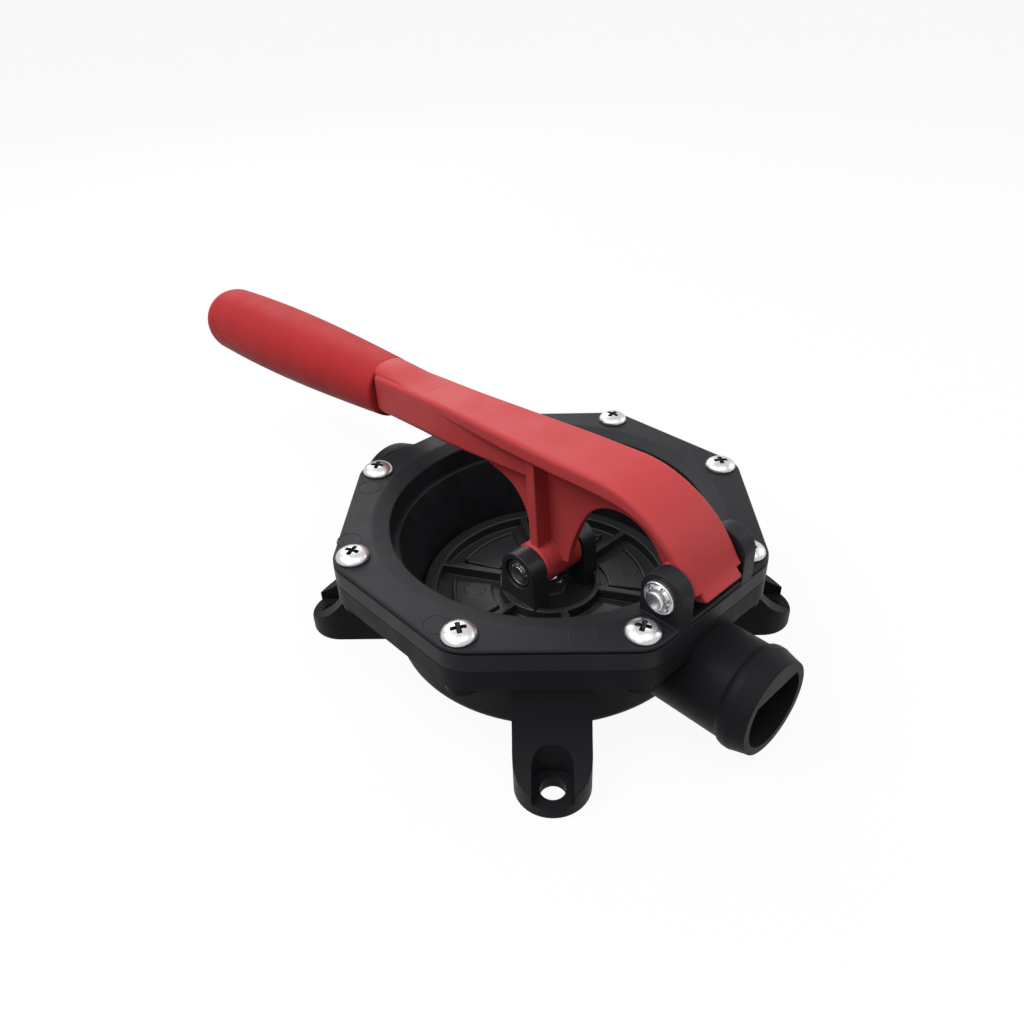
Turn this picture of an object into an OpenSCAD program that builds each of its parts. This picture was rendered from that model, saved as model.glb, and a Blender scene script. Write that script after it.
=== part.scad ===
// Manual diaphragm bilge pump: a bowl with two hose tails and four feet, a rubber
// diaphragm under an octagonal clamp ring, and a hand lever that lifts a ribbed plate.
// Origin: centre of the mounting face, under the middle of the bowl. +X points along the
// outlet, towards the lever's pivot, and +Z away from the mounting face.

/* [Housing] */
// Height of the clamp ring's top face above the mounting face
ring_top = 49; // [47.5:0.5:52]
// Outer radius of the bowl under the flange; flange, ring, plate, feet and pivot follow it
bowl_r = 57.5; // [52:0.25:64]
// Wall of the bowl
bowl_wall = 3.3; // [3:0.1:3.6]
// How far the flange's flats stand outside the rubber's bead
flange_edge = 8; // [7.5:0.25:10]
// Thickness of the clamp ring
ring_t = 8; // [6.5:0.5:9]
// Thickness of the housing's flange
flange_t = 7.5; // [6.5:0.5:9]
// Radius that rounds the octagon's corners
corner_r = 12; // [9:0.5:14]
// How much wider than the bowl the opening in the clamp ring is
ring_step = 0.8; // [0.5:0.1:1.5]

/* [Clamp screws] */
// Width of flange between the rubber's bead and a screw's thread
screw_land = 3.25; // [2.8:0.05:3.8]
// Thread diameter of a clamp screw
screw_d = 6; // [5:0.5:6]
// Diameter of a pan head
head_d = 12; // [10.5:0.1:12.4]
// Height of a pan head
head_h = 3.4; // [3:0.1:4.4]

/* [Hose tails] */
// Height of the hose tails' axis above the mounting face
port_z = 20.75; // [20:0.25:21.5]
// Outer diameter of the tail that the hose slides on
tail_d = 32.9; // [32:0.1:33.4]
// Diameter over the barb at the mouth
barb_d = 35.2; // [34.4:0.1:36]
// Distance from the flange's flats to the mouth
tail_out = 23.9; // [20:0.1:30]
// Diameter of the water way through the tail
way_d = 26.5; // [25:0.1:27.5]
// Height of the flat roof of the water way above its axis
way_roof = 8; // [7.5:0.25:9]

/* [Feet] */
// Distance from the flange's flats to a fixing hole
hole_out = 11.5; // [10.5:0.25:12.5]
// Diameter of a fixing hole
foot_hole_d = 8; // [5:0.5:8]
// Width of a foot
foot_w = 24; // [22:0.5:26]
// Distance from a fixing hole to the foot's tip
tip_out = 7.4; // [7:0.1:9]
// Thickness under the screw head in a foot's slot
foot_floor = 4; // [2.5:0.1:5]
// Width of the slot in a foot
slot_w = 12.6; // [11.5:0.1:14]

/* [Diaphragm and plates] */
// Thickness of the rubber
rubber_t = 2.2; // [2:0.1:2.4]
// Distance between the ribbed plate's rim and the bowl's wall
plate_gap = 7.95; // [7.5:0.05:9]
// Height of the plate's rim and ribs above its underside
plate_h = 6.25; // [5.5:0.25:7]
// Number of radial ribs
rib_count = 6; // [6:1:6]
// Radius of the round wall inside the ribs
hub_r = 17.4; // [16.8:0.1:18.5]
// How much smaller the plate under the rubber is in radius
inner_step = 6.25; // [4.5:0.25:10]

/* [Lever] */
// Distance from the clamp ring's opening to the pivot
fulcrum_out = 8; // [7.5:0.1:8.5]
// Height of the pivot above the clamp ring
fulcrum_rise = 8.5; // [8:0.1:10]
// Diameter of the pivot pin
fulcrum_d = 6.2; // [5.5:0.1:7]
// Height of the plate's pin above the plate's underside
clevis_rise = 17.9; // [17.6:0.1:18.4]
// Diameter of the plate's pin
clevis_d = 6; // [5:0.25:6.5]
// Height of the lever's crown above the clamp ring
crown_rise = 31; // [30:0.25:32]
// Thickness of the lever's top slab
slab_t = 5.8; // [5:0.2:7]
// Depth of the lever's bar from its top face to its lower edge
bar_depth = 16.1; // [15:0.1:17]
// Half width of the lever where it enters the grip
neck_w = 8.4; // [7:0.2:9]
// Half thickness of the lever's web
web_half = 1.3; // [1:0.1:2.5]
// Slope of lever and grip, in degrees
lever_slope = 2.7; // [2.4:0.1:3]
// Length of the grip
grip_len = 140; // [120:1:150]
// Radius of the grip at its lip
grip_r = 11.8; // [11.6:0.1:13.5]
// How much the grip swells towards its thickest place
grip_swell = 3.5; // [0:0.1:4]

/* [Fits] */
// Radial clearance of a pin in a part that turns on it
running = 0.06; // [0.03:0.01:0.09]
// Radial clearance of a pin or screw in a part that it is fixed in
seated = 0.02; // [0.01:0.01:0.05]
// Side clearance between moving faces
side_gap = 0.4; // [0.3:0.1:0.6]

/* [Hidden] */
$fn = 72;
eps = 0.01;

BLACK = "#26272a";
RED = "#b23238";
STEEL = "#c9ccd0";
RUBBER = "#1b1c1e";

// Housing heights
flange_top = ring_top - ring_t;
flange_bottom = flange_top - flange_t;
bowl_bottom = 1;
bowl_floor = bowl_bottom + 3;
bowl_taper = 0.7;
bowl_fillet = 4;
in_r = bowl_r - bowl_wall;
screw_end = flange_bottom - 3;
boss_r = screw_d / 2 + 2.6;
boss_drop = 4.8;

// Rubber: a bead in a groove of the flange, a web over a land, and a deep cup
web_gap = 0.2;
web_z = flange_top - rubber_t - web_gap;
bead_land = 2.8;
bead_w = 5.5;
bead_depth = 4;
bead_in = in_r + bead_land;
bead_out = bead_in + bead_w;
bead_z = flange_top - bead_depth;
cup_gap = 0.6;
cup_bend = 1.2;
cup_lean = 8;
shoulder_in = 4;
shoulder_bend = 2.5;

// Everything on the flange follows the bead
screw_r = bead_out + screw_land + screw_d / 2;
flange_r = bead_out + flange_edge;
ring_bore_r = in_r + ring_step;
tail_reach = flange_r + tail_out;
foot_hole_r = flange_r + hole_out;
foot_reach = foot_hole_r + tip_out;
plate_r = in_r - plate_gap;
inner_plate_r = plate_r - inner_step;

// Stack on the bowl's floor, from the bottom up
stack_gap = 0.6;
truss_h = 2.2;
inner_plate_t = 2.5;
inner_plate_z = bowl_floor + stack_gap + truss_h;
rubber_z = inner_plate_z + inner_plate_t;
plate_z = rubber_z + rubber_t;
plate_floor_t = 2.25;
plate_floor_z = plate_z + plate_floor_t;
plate_top = plate_z + plate_h;
clevis_z = plate_z + clevis_rise;

// Pins and the ears that hold them
fulcrum_x = ring_bore_r + fulcrum_out;
fulcrum_z = ring_top + fulcrum_rise;
fulcrum_r = fulcrum_d / 2;
fulcrum_ear_r = 7.4;
fulcrum_ear_t = 6.3;
head_space = 1.7;
fulcrum_ear_out = screw_r * sin(22.5) - head_d / 2 - head_space;
fulcrum_ear_in = fulcrum_ear_out - fulcrum_ear_t;
hub_half = fulcrum_ear_in - side_gap;
fulcrum_hub_r = 7.2;
pin_out = 3.2;
cap_rim = 2.3;
clevis_r = clevis_d / 2;
boss_half = 8.8;
boss_proud = 0.8;
lever_boss_r = 8;
clevis_ear_r = 8;
clevis_ear_in = boss_half + side_gap;
clevis_ear_t = 7.1;
clevis_ear_out = clevis_ear_in + clevis_ear_t;
clip_well_r = 5.8;
clip_well_d = 1.6;

// Lever profile: crown arc, strut and arch, in the plane of the lever
crown_z = ring_top + crown_rise;
crown_r = 42;
crown_c = [fulcrum_x - 30.7, crown_z - crown_r];
slope_tan = tan(lever_slope);
crown_a = 90 + lever_slope;
slab_a = 27;
nose_a = 22.7;
nose_w = hub_half - 3;
nose_flare = 1.4;
neck_x = -(flange_r + 15.2);
lip_x = neck_x - side_gap;
rib_x = [-2.8, 1.4];
bar_half = 5.3;
fillet_r = 18;
fillet_c = [-27, crown_z - 42.8];
fillet_a = 76;
arch_r = 17.8;
arch_c = [fulcrum_x - 29.5, ring_top - 3.2];
arch_a = 146;
strut_r = 70;
tongue = [108, 10.4, 12];
tongue_fit = 0.1;

// Valve cage, measured from the back of its seat along the flow
cage_r = 14.25;
cage_len = 12.6;
cage_bore = 11.7;
seat_t = 3;
seat_hole = 9.2;
flap_r = 10.9;
flap_t = 2;
flap_x = seat_t + 0.05 + flap_t / 2;
flap_pin_r = 1;
flap_pin_z = 9.4;
flap_chord = 7.4;
knuckle_r = 1.9;
cage_end = in_r - 0.8;
flap_pin_half = 9.6;
seal_x = 7.5;
seal_r = 0.75;

// Points on an arc, from one angle to another
function arc(c, r, a0, a1, n) =
    [for (i = [0:n]) let (a = a0 + (a1 - a0) * i / n) c + r * [cos(a), sin(a)]];
// Centre of the circle of radius r through two points, to the left of a line from p to q
function centre_of(p, q, r) =
    let (d = q - p, l = norm(d), h = sqrt(r * r - l * l / 4))
    (p + q) / 2 + h * [-d[1], d[0]] / l;
// Height of the lever's top line
function lever_top(x) = crown_c[1] + crown_r * sin(crown_a)
    + slope_tan * (x - crown_c[0] - crown_r * cos(crown_a));
// Height of the lower edge of the lever's bar
function lever_low(x) = lever_top(x) - bar_depth;
// Closed outline in x and y from a list of [x, half width]
function both_sides(plan) = concat([for (p = plan) [p[0], -p[1]]],
    [for (i = [len(plan) - 1:-1:0]) plan[i]]);

// Turns a profile drawn in x and z into a slab of that half width along Y
module across(half) {
    rotate([90, 0, 0]) linear_extrude(2 * half, center = true) children();
}

// A cylinder along Y
module rod_y(r, half) {
    rotate([90, 0, 0]) cylinder(r = r, h = 2 * half, center = true);
}

// A cylinder along X that starts at x = 0
module rod_x(r, len) {
    rotate([0, 90, 0]) cylinder(r = r, h = len);
}

// Puts a copy at each clamp screw
module at_screws() {
    for (i = [0:7]) rotate(22.5 + 45 * i) translate([screw_r, 0, 0]) children();
}

// Octagon with rounded corners
module rounded_octagon(apothem, r) {
    d = (apothem - r) / cos(22.5);
    polygon([for (i = [0:7], s = [-1, 1]) let (a = 22.5 + 45 * i)
        d * [cos(a), sin(a)] + r * [cos(a + s * 22.5), sin(a + s * 22.5)]]);
    for (i = [0:7]) rotate(22.5 + 45 * i) translate([d, 0]) circle(r);
}

// ---- Housing -------------------------------------------------------------------------

module bowl_shell() {
    low_r = bowl_r - bowl_taper;
    rotate_extrude() polygon(concat(
        [[0, bowl_bottom]],
        arc([low_r - bowl_fillet, bowl_bottom + bowl_fillet], bowl_fillet, -90, 0, 8),
        [[bowl_r, flange_bottom], [bowl_r, flange_bottom + 1], [0, flange_bottom + 1]]));
}

module bowl_hollow() {
    low_r = in_r - bowl_taper;
    rotate_extrude() polygon(concat(
        [[0, bowl_floor]],
        arc([low_r - bowl_fillet, bowl_floor + bowl_fillet], bowl_fillet, -90, 0, 8),
        [[in_r, web_z], [bead_in, web_z], [bead_in, bead_z], [bead_out, bead_z],
         [bead_out, flange_top + 1], [0, flange_top + 1]]));
}

// A foot: straight sides, a round tip and a scooped back
module foot() {
    half = foot_w / 2;
    scoop_r = 29;
    scoop = centre_of([flange_r - 1.6, flange_bottom + 0.5], [foot_reach - 1, foot_floor + 3.1], scoop_r);
    difference() {
        linear_extrude(flange_bottom + 1) {
            translate([foot_reach - half, 0]) circle(half);
            translate([bowl_r - 10, -half]) square([foot_reach - half - bowl_r + 10, foot_w]);
        }
        translate([scoop[0], 0, scoop[1]]) rod_y(scoop_r, foot_w);
    }
}

// Slot for the fixing screw's head, open at the tip, and the screw's hole
module foot_slot() {
    bend = 4.6;
    back = foot_hole_r - slot_w / 2;
    translate([0, 0, foot_floor]) linear_extrude(flange_bottom) {
        for (s = [-1, 1]) translate([back + bend, s * (slot_w / 2 - bend)]) circle(bend);
        translate([back, bend - slot_w / 2]) square([bend, slot_w - 2 * bend]);
        translate([back + bend, -slot_w / 2]) square([20, slot_w]);
    }
    translate([foot_hole_r, 0, -1]) cylinder(d = foot_hole_d, h = foot_floor + 2);
}

module hose_tail() {
    r = tail_d / 2;
    crest = barb_d / 2;
    translate([0, 0, port_z]) rotate([0, 90, 0]) rotate_extrude() polygon([
        [0, bowl_r - 7], [r, bowl_r - 7], [r, tail_reach - 10], [crest - 0.3, tail_reach - 9],
        [crest, tail_reach - 7.8], [crest, tail_reach - 5.8], [crest - 0.4, tail_reach - 4.6],
        [r - 0.5, tail_reach], [0, tail_reach]]);
}

// Water way with its flat roof, and the seat of the valve cage inside it
module water_way() {
    translate([bowl_r - 8, 0, port_z]) difference() {
        rod_x(way_d / 2, tail_reach);
        translate([-1, -way_d, way_roof]) cube([tail_reach + 2, 2 * way_d, way_d]);
    }
    translate([bowl_r - 8, 0, port_z]) rod_x(cage_r + 0.05, cage_end + cage_len - bowl_r + 8.05);
}

module pump_body() {
    color(BLACK) difference() {
        union() {
            translate([0, 0, flange_bottom]) linear_extrude(flange_t)
                rounded_octagon(flange_r, corner_r);
            bowl_shell();
            at_screws() translate([0, 0, flange_bottom - boss_drop]) rotate_extrude()
                polygon([[0, 0], [boss_r - 1.2, 0], [boss_r, 1.2],
                         [boss_r, boss_drop + 1], [0, boss_drop + 1]]);
            for (a = [45:90:315]) rotate(a) foot();
            for (s = [0, 1]) mirror([s, 0, 0]) hose_tail();
        }
        bowl_hollow();
        at_screws() translate([0, 0, screw_end - 0.5])
            cylinder(r = screw_d / 2 + seated, h = flange_t + 5);
        for (a = [45:90:315]) rotate(a) foot_slot();
        for (s = [0, 1]) mirror([s, 0, 0]) water_way();
    }
}

// Two ears on the clamp ring carry the lever's pivot pin
module fulcrum_ears() {
    for (s = [-1, 1])
        translate([0, s * (fulcrum_ear_in + fulcrum_ear_t / 2), 0]) across(fulcrum_ear_t / 2) {
            translate([fulcrum_x, fulcrum_z]) circle(fulcrum_ear_r);
            translate([fulcrum_x - fulcrum_ear_r, ring_top - 3])
                square([2 * fulcrum_ear_r, fulcrum_z - ring_top + 3]);
        }
}

module clamp_ring() {
    bevel = 1.25;
    color(BLACK) difference() {
        union() {
            difference() {
                translate([0, 0, flange_top]) linear_extrude(ring_t)
                    rounded_octagon(flange_r, corner_r);
                translate([0, 0, ring_top - bevel])
                    cylinder(r1 = ring_bore_r, r2 = ring_bore_r + 6.1, h = bevel + eps);
            }
            fulcrum_ears();
        }
        translate([0, 0, flange_top - 1]) cylinder(r = ring_bore_r, h = ring_t - 0.25);
        at_screws() translate([0, 0, flange_top - 1])
            cylinder(r = screw_d / 2 + 0.3, h = ring_t + 2);
        translate([fulcrum_x, 0, fulcrum_z]) rod_y(fulcrum_r + seated, fulcrum_ear_out + 1);
    }
}

// Pan head screw with a cross recess, the underside of its head at z = 0
module pan_screw(len) {
    r = head_d / 2;
    difference() {
        rotate_extrude() polygon(concat(
            [[0, -len], [screw_d / 2 - 0.8, -len], [screw_d / 2, -len + 0.8],
             [screw_d / 2, 0], [r - 0.3, 0], [r, 0.4]],
            [for (i = [1:6]) let (a = 90 * i / 7) [r * cos(a), 0.4 + (head_h - 0.4) * sin(a)]],
            [[0, head_h]]));
        for (a = [0, 90]) rotate(a + 20) translate([-2.2, -0.45, head_h - 1.8])
            cube([4.4, 0.9, 3]);
    }
}

module clamp_screws() {
    color(STEEL) at_screws() translate([0, 0, ring_top]) pan_screw(ring_top - screw_end);
}

// ---- Diaphragm and plates --------------------------------------------------------------

// Rubber cup: flat under the plate, a steep wall, a soft shoulder and a clamped bead
module diaphragm() {
    cup = [plate_r + cup_gap - cup_bend, plate_z + cup_bend];
    shoulder = ring_bore_r - shoulder_in;
    outer_bend = cup_bend + rubber_t;
    under_bend = 1;
    lean = 180 - cup_lean - 2;
    color(RUBBER) rotate_extrude() polygon(concat(
        [[clevis_r + 0.25, rubber_z]], arc(cup, outer_bend, -90, -cup_lean, 6),
        arc([shoulder + rubber_t + under_bend, web_z - under_bend], under_bend, lean, 90, 3),
        [[bead_in + web_gap, web_z], [bead_in + web_gap, bead_z],
         [bead_out - web_gap, bead_z], [bead_out - web_gap, flange_top]],
        arc([shoulder + shoulder_bend, flange_top - shoulder_bend], shoulder_bend, 90, lean, 5),
        arc(cup, cup_bend, -cup_lean, -90, 4),
        [[clevis_r + 0.25, plate_z]]));
}

// Raised pad between two ribs, with a low ridge along its outer edge
module panel() {
    half = 180 / rib_count - 7;
    inside = hub_r + 4.2;
    outside = plate_r - 10.85;
    ridge = 1.3;
    intersection() {
        rotate_extrude() polygon([
            [inside, plate_floor_z - 0.5], [outside, plate_floor_z - 0.5],
            [outside, plate_floor_z + 2.3], [outside - ridge, plate_floor_z + 2.3],
            [outside - ridge, plate_floor_z + 1.4], [inside, plate_floor_z + 1.4]]);
        translate([0, 0, plate_floor_z - 1]) linear_extrude(4) polygon([
            [inside / 3, 0], [2 * plate_r * cos(half), -2 * plate_r * sin(half)],
            [2 * plate_r * cos(half), 2 * plate_r * sin(half)]]);
    }
}

// Two ears hold the plate's pin, each with a well for its clip
module clevis_ears() {
    for (s = [-1, 1]) translate([0, s * (clevis_ear_in + clevis_ear_t / 2), 0])
        across(clevis_ear_t / 2) {
            translate([0, clevis_z]) circle(clevis_ear_r);
            polygon([[-clevis_ear_r - 1.2, plate_floor_z - 1], [clevis_ear_r + 1.2, plate_floor_z - 1],
                     [clevis_ear_r, clevis_z], [-clevis_ear_r, clevis_z]]);
        }
}

module diaphragm_plate() {
    rim_t = 5;
    wall = 2.2;
    color(BLACK) difference() {
        union() {
            rotate_extrude() polygon([
                [0, plate_z], [plate_r - 1, plate_z], [plate_r, plate_z + 1],
                [plate_r, plate_top - 1], [plate_r - 1, plate_top], [plate_r - rim_t + 0.4, plate_top],
                [plate_r - rim_t, plate_top - 0.6], [plate_r - rim_t, plate_floor_z],
                [hub_r + wall / 2, plate_floor_z], [hub_r + wall / 2, plate_top],
                [hub_r - wall / 2, plate_top], [hub_r - wall / 2, plate_floor_z],
                [0, plate_floor_z]]);
            for (i = [0:rib_count - 1]) rotate(30 + 360 / rib_count * i)
                translate([hub_r, -1.3, plate_floor_z - 1])
                    cube([plate_r - rim_t - hub_r + 1, 2.6, plate_top - plate_floor_z + 1]);
            for (i = [0:rib_count - 1]) rotate(360 / rib_count * i) panel();
            clevis_ears();
        }
        translate([0, 0, clevis_z]) rod_y(clevis_r + seated, clevis_ear_out + 1);
        for (s = [-1, 1]) translate([0, s * (clevis_ear_out - clip_well_d + 5), clevis_z])
            rod_y(clip_well_r, 5);
        translate([0, 0, plate_z - 1]) cylinder(r = clevis_r + 0.2, h = plate_floor_t + 2);
    }
}

module inner_plate() {
    edge = 1.1;
    color(BLACK) difference() {
        rotate_extrude() polygon([
            [0, inner_plate_z], [inner_plate_r - edge, inner_plate_z],
            [inner_plate_r - 0.3, inner_plate_z + 0.5], [inner_plate_r, inner_plate_z + edge],
            [inner_plate_r, rubber_z], [0, rubber_z]]);
        translate([0, 0, inner_plate_z - 1]) cylinder(r = clevis_r + 0.2, h = inner_plate_t + 2);
    }
}

washer_t = 1.2;
nut_h = 4.8;

// Low-headed screw that holds the two plates and the rubber together
module plate_screw() {
    end = plate_floor_z + washer_t + nut_h + 0.8;
    color(STEEL) difference() {
        rotate_extrude() polygon([
            [0, inner_plate_z - truss_h], [3.4, inner_plate_z - truss_h],
            [5.2, inner_plate_z - truss_h + 0.6], [6.4, inner_plate_z - 0.3],
            [6.4, inner_plate_z], [clevis_r, inner_plate_z], [clevis_r, end - 0.7],
            [clevis_r - 0.7, end], [0, end]]);
        for (a = [45, 135]) rotate(a) translate([-2.4, -0.6, inner_plate_z - truss_h - 1])
            cube([4.8, 1.2, 2.1]);
    }
}

module plate_washer() {
    color(STEEL) translate([0, 0, plate_floor_z]) difference() {
        cylinder(r = 6, h = washer_t);
        translate([0, 0, -1]) cylinder(r = clevis_r + 0.15, h = washer_t + 2);
    }
}

module plate_nut() {
    across_flats = 10;
    color(STEEL) translate([0, 0, plate_floor_z + washer_t]) difference() {
        intersection() {
            cylinder(d = across_flats / cos(30), h = nut_h, $fn = 6);
            rotate_extrude() polygon([[0, 0], [5.1, 0], [5.8, 0.5], [5.8, nut_h - 0.5],
                                      [5.1, nut_h], [0, nut_h]]);
        }
        translate([0, 0, -1]) cylinder(r = clevis_r + seated, h = nut_h + 2);
    }
}

// ---- Pins ------------------------------------------------------------------------------

// Pin along Y with chamfered ends
module pin_y(r, half, chamfer) {
    rotate([90, 0, 0]) rotate_extrude() polygon([
        [0, -half], [r - chamfer, -half], [r, -half + chamfer],
        [r, half - chamfer], [r - chamfer, half], [0, half]]);
}

// Push-on cap along +Y from y = 0: a flat skirt that rises to a toothed neck
module push_cap(r, bore) {
    rotate([-90, 0, 0]) rotate_extrude() polygon([
        [bore + 0.9, 0], [r, 0], [r, 0.6], [bore + 1.2, 0.6], [bore + 0.6, 1.5],
        [bore, 1.5], [bore, 0.9]]);
}

module fulcrum_pin() {
    color(STEEL) translate([fulcrum_x, 0, fulcrum_z])
        pin_y(fulcrum_r, fulcrum_ear_out + pin_out, 0.6);
}

module fulcrum_caps() {
    color(STEEL) translate([fulcrum_x, 0, fulcrum_z]) for (s = [0, 1]) mirror([0, s, 0])
        translate([0, fulcrum_ear_out, 0]) push_cap(fulcrum_r + cap_rim, fulcrum_r + seated);
}

module clevis_pin() {
    color(STEEL) translate([0, 0, clevis_z]) pin_y(clevis_r, clevis_ear_out - 0.1, 0.5);
}

module clevis_clips() {
    color(STEEL) translate([0, 0, clevis_z]) for (s = [0, 1]) mirror([0, s, 0])
        translate([0, clevis_ear_out - clip_well_d, 0]) rotate([-90, 0, 0]) difference() {
            cylinder(r = clip_well_r - 0.7, h = 1);
            translate([0, 0, -1]) cylinder(r = clevis_r + seated, h = 3);
        }
}

// ---- Lever and grip --------------------------------------------------------------------

// Top slab: a straight run that bends down over the crown to the nose
module slab_profile() {
    top0 = lever_top(neck_x);
    join = crown_c + crown_r * [cos(crown_a), sin(crown_a)];
    under = crown_c + (crown_r - slab_t) * [cos(crown_a), sin(crown_a)];
    polygon([[neck_x, top0], join, under, [neck_x, top0 - slab_t]]);
    intersection() {
        translate(crown_c) difference() {
            circle(crown_r, $fn = 144);
            circle(crown_r - slab_t, $fn = 144);
        }
        polygon([crown_c, crown_c + 60 * [cos(slab_a), sin(slab_a)],
                 crown_c + 80 * [cos(55), sin(55)],
                 crown_c + 60 * [cos(crown_a), sin(crown_a)]]);
    }
}

// Thin web from the bar's lower edge and the slab down to the plate's pin, with the arch
module web_profile() {
    mid = crown_r - slab_t / 2;
    start = -46;
    strut_c = arch_c + arch_r * [cos(arch_a), sin(arch_a)] + strut_r * [cos(29.6), -sin(29.6)];
    difference() {
        polygon(concat(
            [[start, lever_low(start) + 1], [start, lever_low(start)],
             fillet_c + fillet_r * [cos(fillet_a), sin(fillet_a)], fillet_c,
             [fillet_c[0] + fillet_r, fillet_c[1]], [0.4 - lever_boss_r, clevis_z + 1.5],
             [lever_boss_r - 0.4, clevis_z + 1.5]],
            arc(strut_c, strut_r, 171.4, 150.4, 6),
            [arch_c, [fulcrum_x - fulcrum_hub_r - 1, fulcrum_z - 3], [fulcrum_x, fulcrum_z]],
            arc(crown_c, mid, 42, crown_a, 5),
            [[start, lever_top(start) - slab_t / 2]]));
        translate(fillet_c) circle(fillet_r, $fn = 96);
        translate(arch_c) circle(arch_r, $fn = 96);
    }
}

// Bar under the slab, from the grip to the cross rib
module bar_profile() {
    polygon([[neck_x, lever_low(neck_x)], [0, lever_low(0)],
             [0, lever_top(0) - slab_t / 2], [neck_x, lever_top(neck_x) - slab_t / 2]]);
}

// Cross rib that stiffens the strut, from the slab down to the boss
module rib_profile() {
    polygon([[rib_x[0] + 1.2, clevis_z], [rib_x[1] + 0.7, clevis_z], [rib_x[1] + 0.7, clevis_z + 8],
             [rib_x[1], clevis_z + 27], [rib_x[1] - 0.8, lever_top(0) - slab_t / 2],
             [rib_x[0], lever_top(0) - slab_t / 2], [rib_x[0], clevis_z + 27],
             [rib_x[0] + 1.2, clevis_z + 8]]);
}

// Broad hub between the fulcrum ears; its front follows the crown
module hub_profile() {
    lip = 0.5;
    translate([fulcrum_x, fulcrum_z]) circle(fulcrum_hub_r);
    polygon(concat(
        [[fulcrum_x, fulcrum_z - fulcrum_hub_r],
         crown_c + (crown_r - slab_t) * [cos(slab_a - 3), sin(slab_a - 3)]],
        arc(crown_c, crown_r - lip, slab_a - 2, slab_a + 16, 4),
        [[fulcrum_x - 5, fulcrum_z + 8], [fulcrum_x - 6.4, fulcrum_z + 3]]));
}

// Narrow lip that flares out of the crown at the nose
module nose_profile() {
    polygon(concat(
        arc(crown_c, crown_r - slab_t / 2, nose_a, slab_a + 8, 3),
        [crown_c + crown_r * [cos(slab_a + 8), sin(slab_a + 8)],
         crown_c + (crown_r + 0.2) * [cos(slab_a + 3), sin(slab_a + 3)],
         crown_c + (crown_r + nose_flare) * [cos(nose_a + 0.6), sin(nose_a + 0.6)],
         crown_c + (crown_r + nose_flare - 0.4) * [cos(nose_a), sin(nose_a)]]));
}

module handle_lever() {
    far = fulcrum_x + 12;
    wide = hub_half + 1;
    color(RED) difference() {
        union() {
            intersection() {
                across(wide) slab_profile();
                translate([0, 0, ring_top - 5]) linear_extrude(crown_rise + 10) polygon(both_sides([
                    [neck_x, neck_w], [neck_x + 42, neck_w + 0.5], [0.16 * fulcrum_x, hub_half - 0.6],
                    [0.8 * fulcrum_x, hub_half - 0.2], [0.91 * fulcrum_x, hub_half], [far, hub_half]]));
            }
            across(nose_w) nose_profile();
            across(web_half) web_profile();
            across(boss_half - boss_proud) rib_profile();
            intersection() {
                across(wide) bar_profile();
                linear_extrude(2 * crown_z) polygon(both_sides([
                    [neck_x, neck_w], [neck_x + 42, neck_w + 0.5], [rib_x[1] - 0.5, bar_half]]));
            }
            intersection() {
                across(hub_half) hub_profile();
                across(wide) translate(crown_c) circle(crown_r - 0.5);
            }
            translate([0, 0, clevis_z]) rod_y(lever_boss_r, boss_half);
            translate([neck_x, 0, (lever_low(neck_x) + lever_top(neck_x)) / 2])
                rotate([0, -lever_slope, 0])
                    translate([-tongue[0], -tongue[1] / 2, -tongue[2] / 2])
                        cube([tongue[0] + 2, tongue[1], tongue[2]]);
        }
        translate([fulcrum_x, 0, fulcrum_z]) rod_y(fulcrum_r + running, hub_half + 1);
        translate([0, 0, clevis_z]) rod_y(clevis_r + running, boss_half + 1);
    }
}

// Radius of the grip at a distance from its lip
function grip_at(s) = grip_r + grip_swell * sin(90 * s / (0.65 * grip_len));

// Swelling sleeve with a round end, pushed over the lever's tongue
module handle_grip() {
    end_r = grip_at(0.885 * grip_len);
    body = grip_len - end_r;
    mid_z = (lever_low(neck_x) + lever_top(neck_x)) / 2;
    color(RED) translate([neck_x, 0, mid_z]) rotate([0, -lever_slope, 0])
    translate([lip_x - neck_x, 0, 0]) difference() {
        rotate([0, -90, 0]) rotate_extrude() polygon(concat(
            [[0, 0], [grip_r - 0.8, 0], [grip_r - 0.1, 0.6]],
            [for (i = [1:14]) [grip_at(body * i / 14), body * i / 14]],
            [for (i = [1:6]) let (a = 90 * i / 7) [end_r * cos(a), body + end_r * sin(a)]],
            [[0.8, body + end_r], [0, body + end_r]]));
        translate([-tongue[0], -tongue[1] / 2 - tongue_fit, -tongue[2] / 2 - tongue_fit])
            cube([tongue[0] + 10, tongue[1] + 2 * tongue_fit, tongue[2] + 2 * tongue_fit]);
    }
}

// ---- Valves ----------------------------------------------------------------------------

// Puts a valve in the inlet (-X) or the outlet (+X); in both, water flows along +X
module in_inlet() { translate([-cage_end - cage_len, 0, port_z]) children(); }
module in_outlet() { translate([cage_end, 0, port_z]) children(); }

// Upper part of a disc along X, cut by a chord
module cap_x(r, chord, x, len) {
    translate([x, 0, 0]) intersection() {
        rod_x(r, len);
        translate([-1, -r, chord]) cube([len + 2, 2 * r, r]);
    }
}

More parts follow.
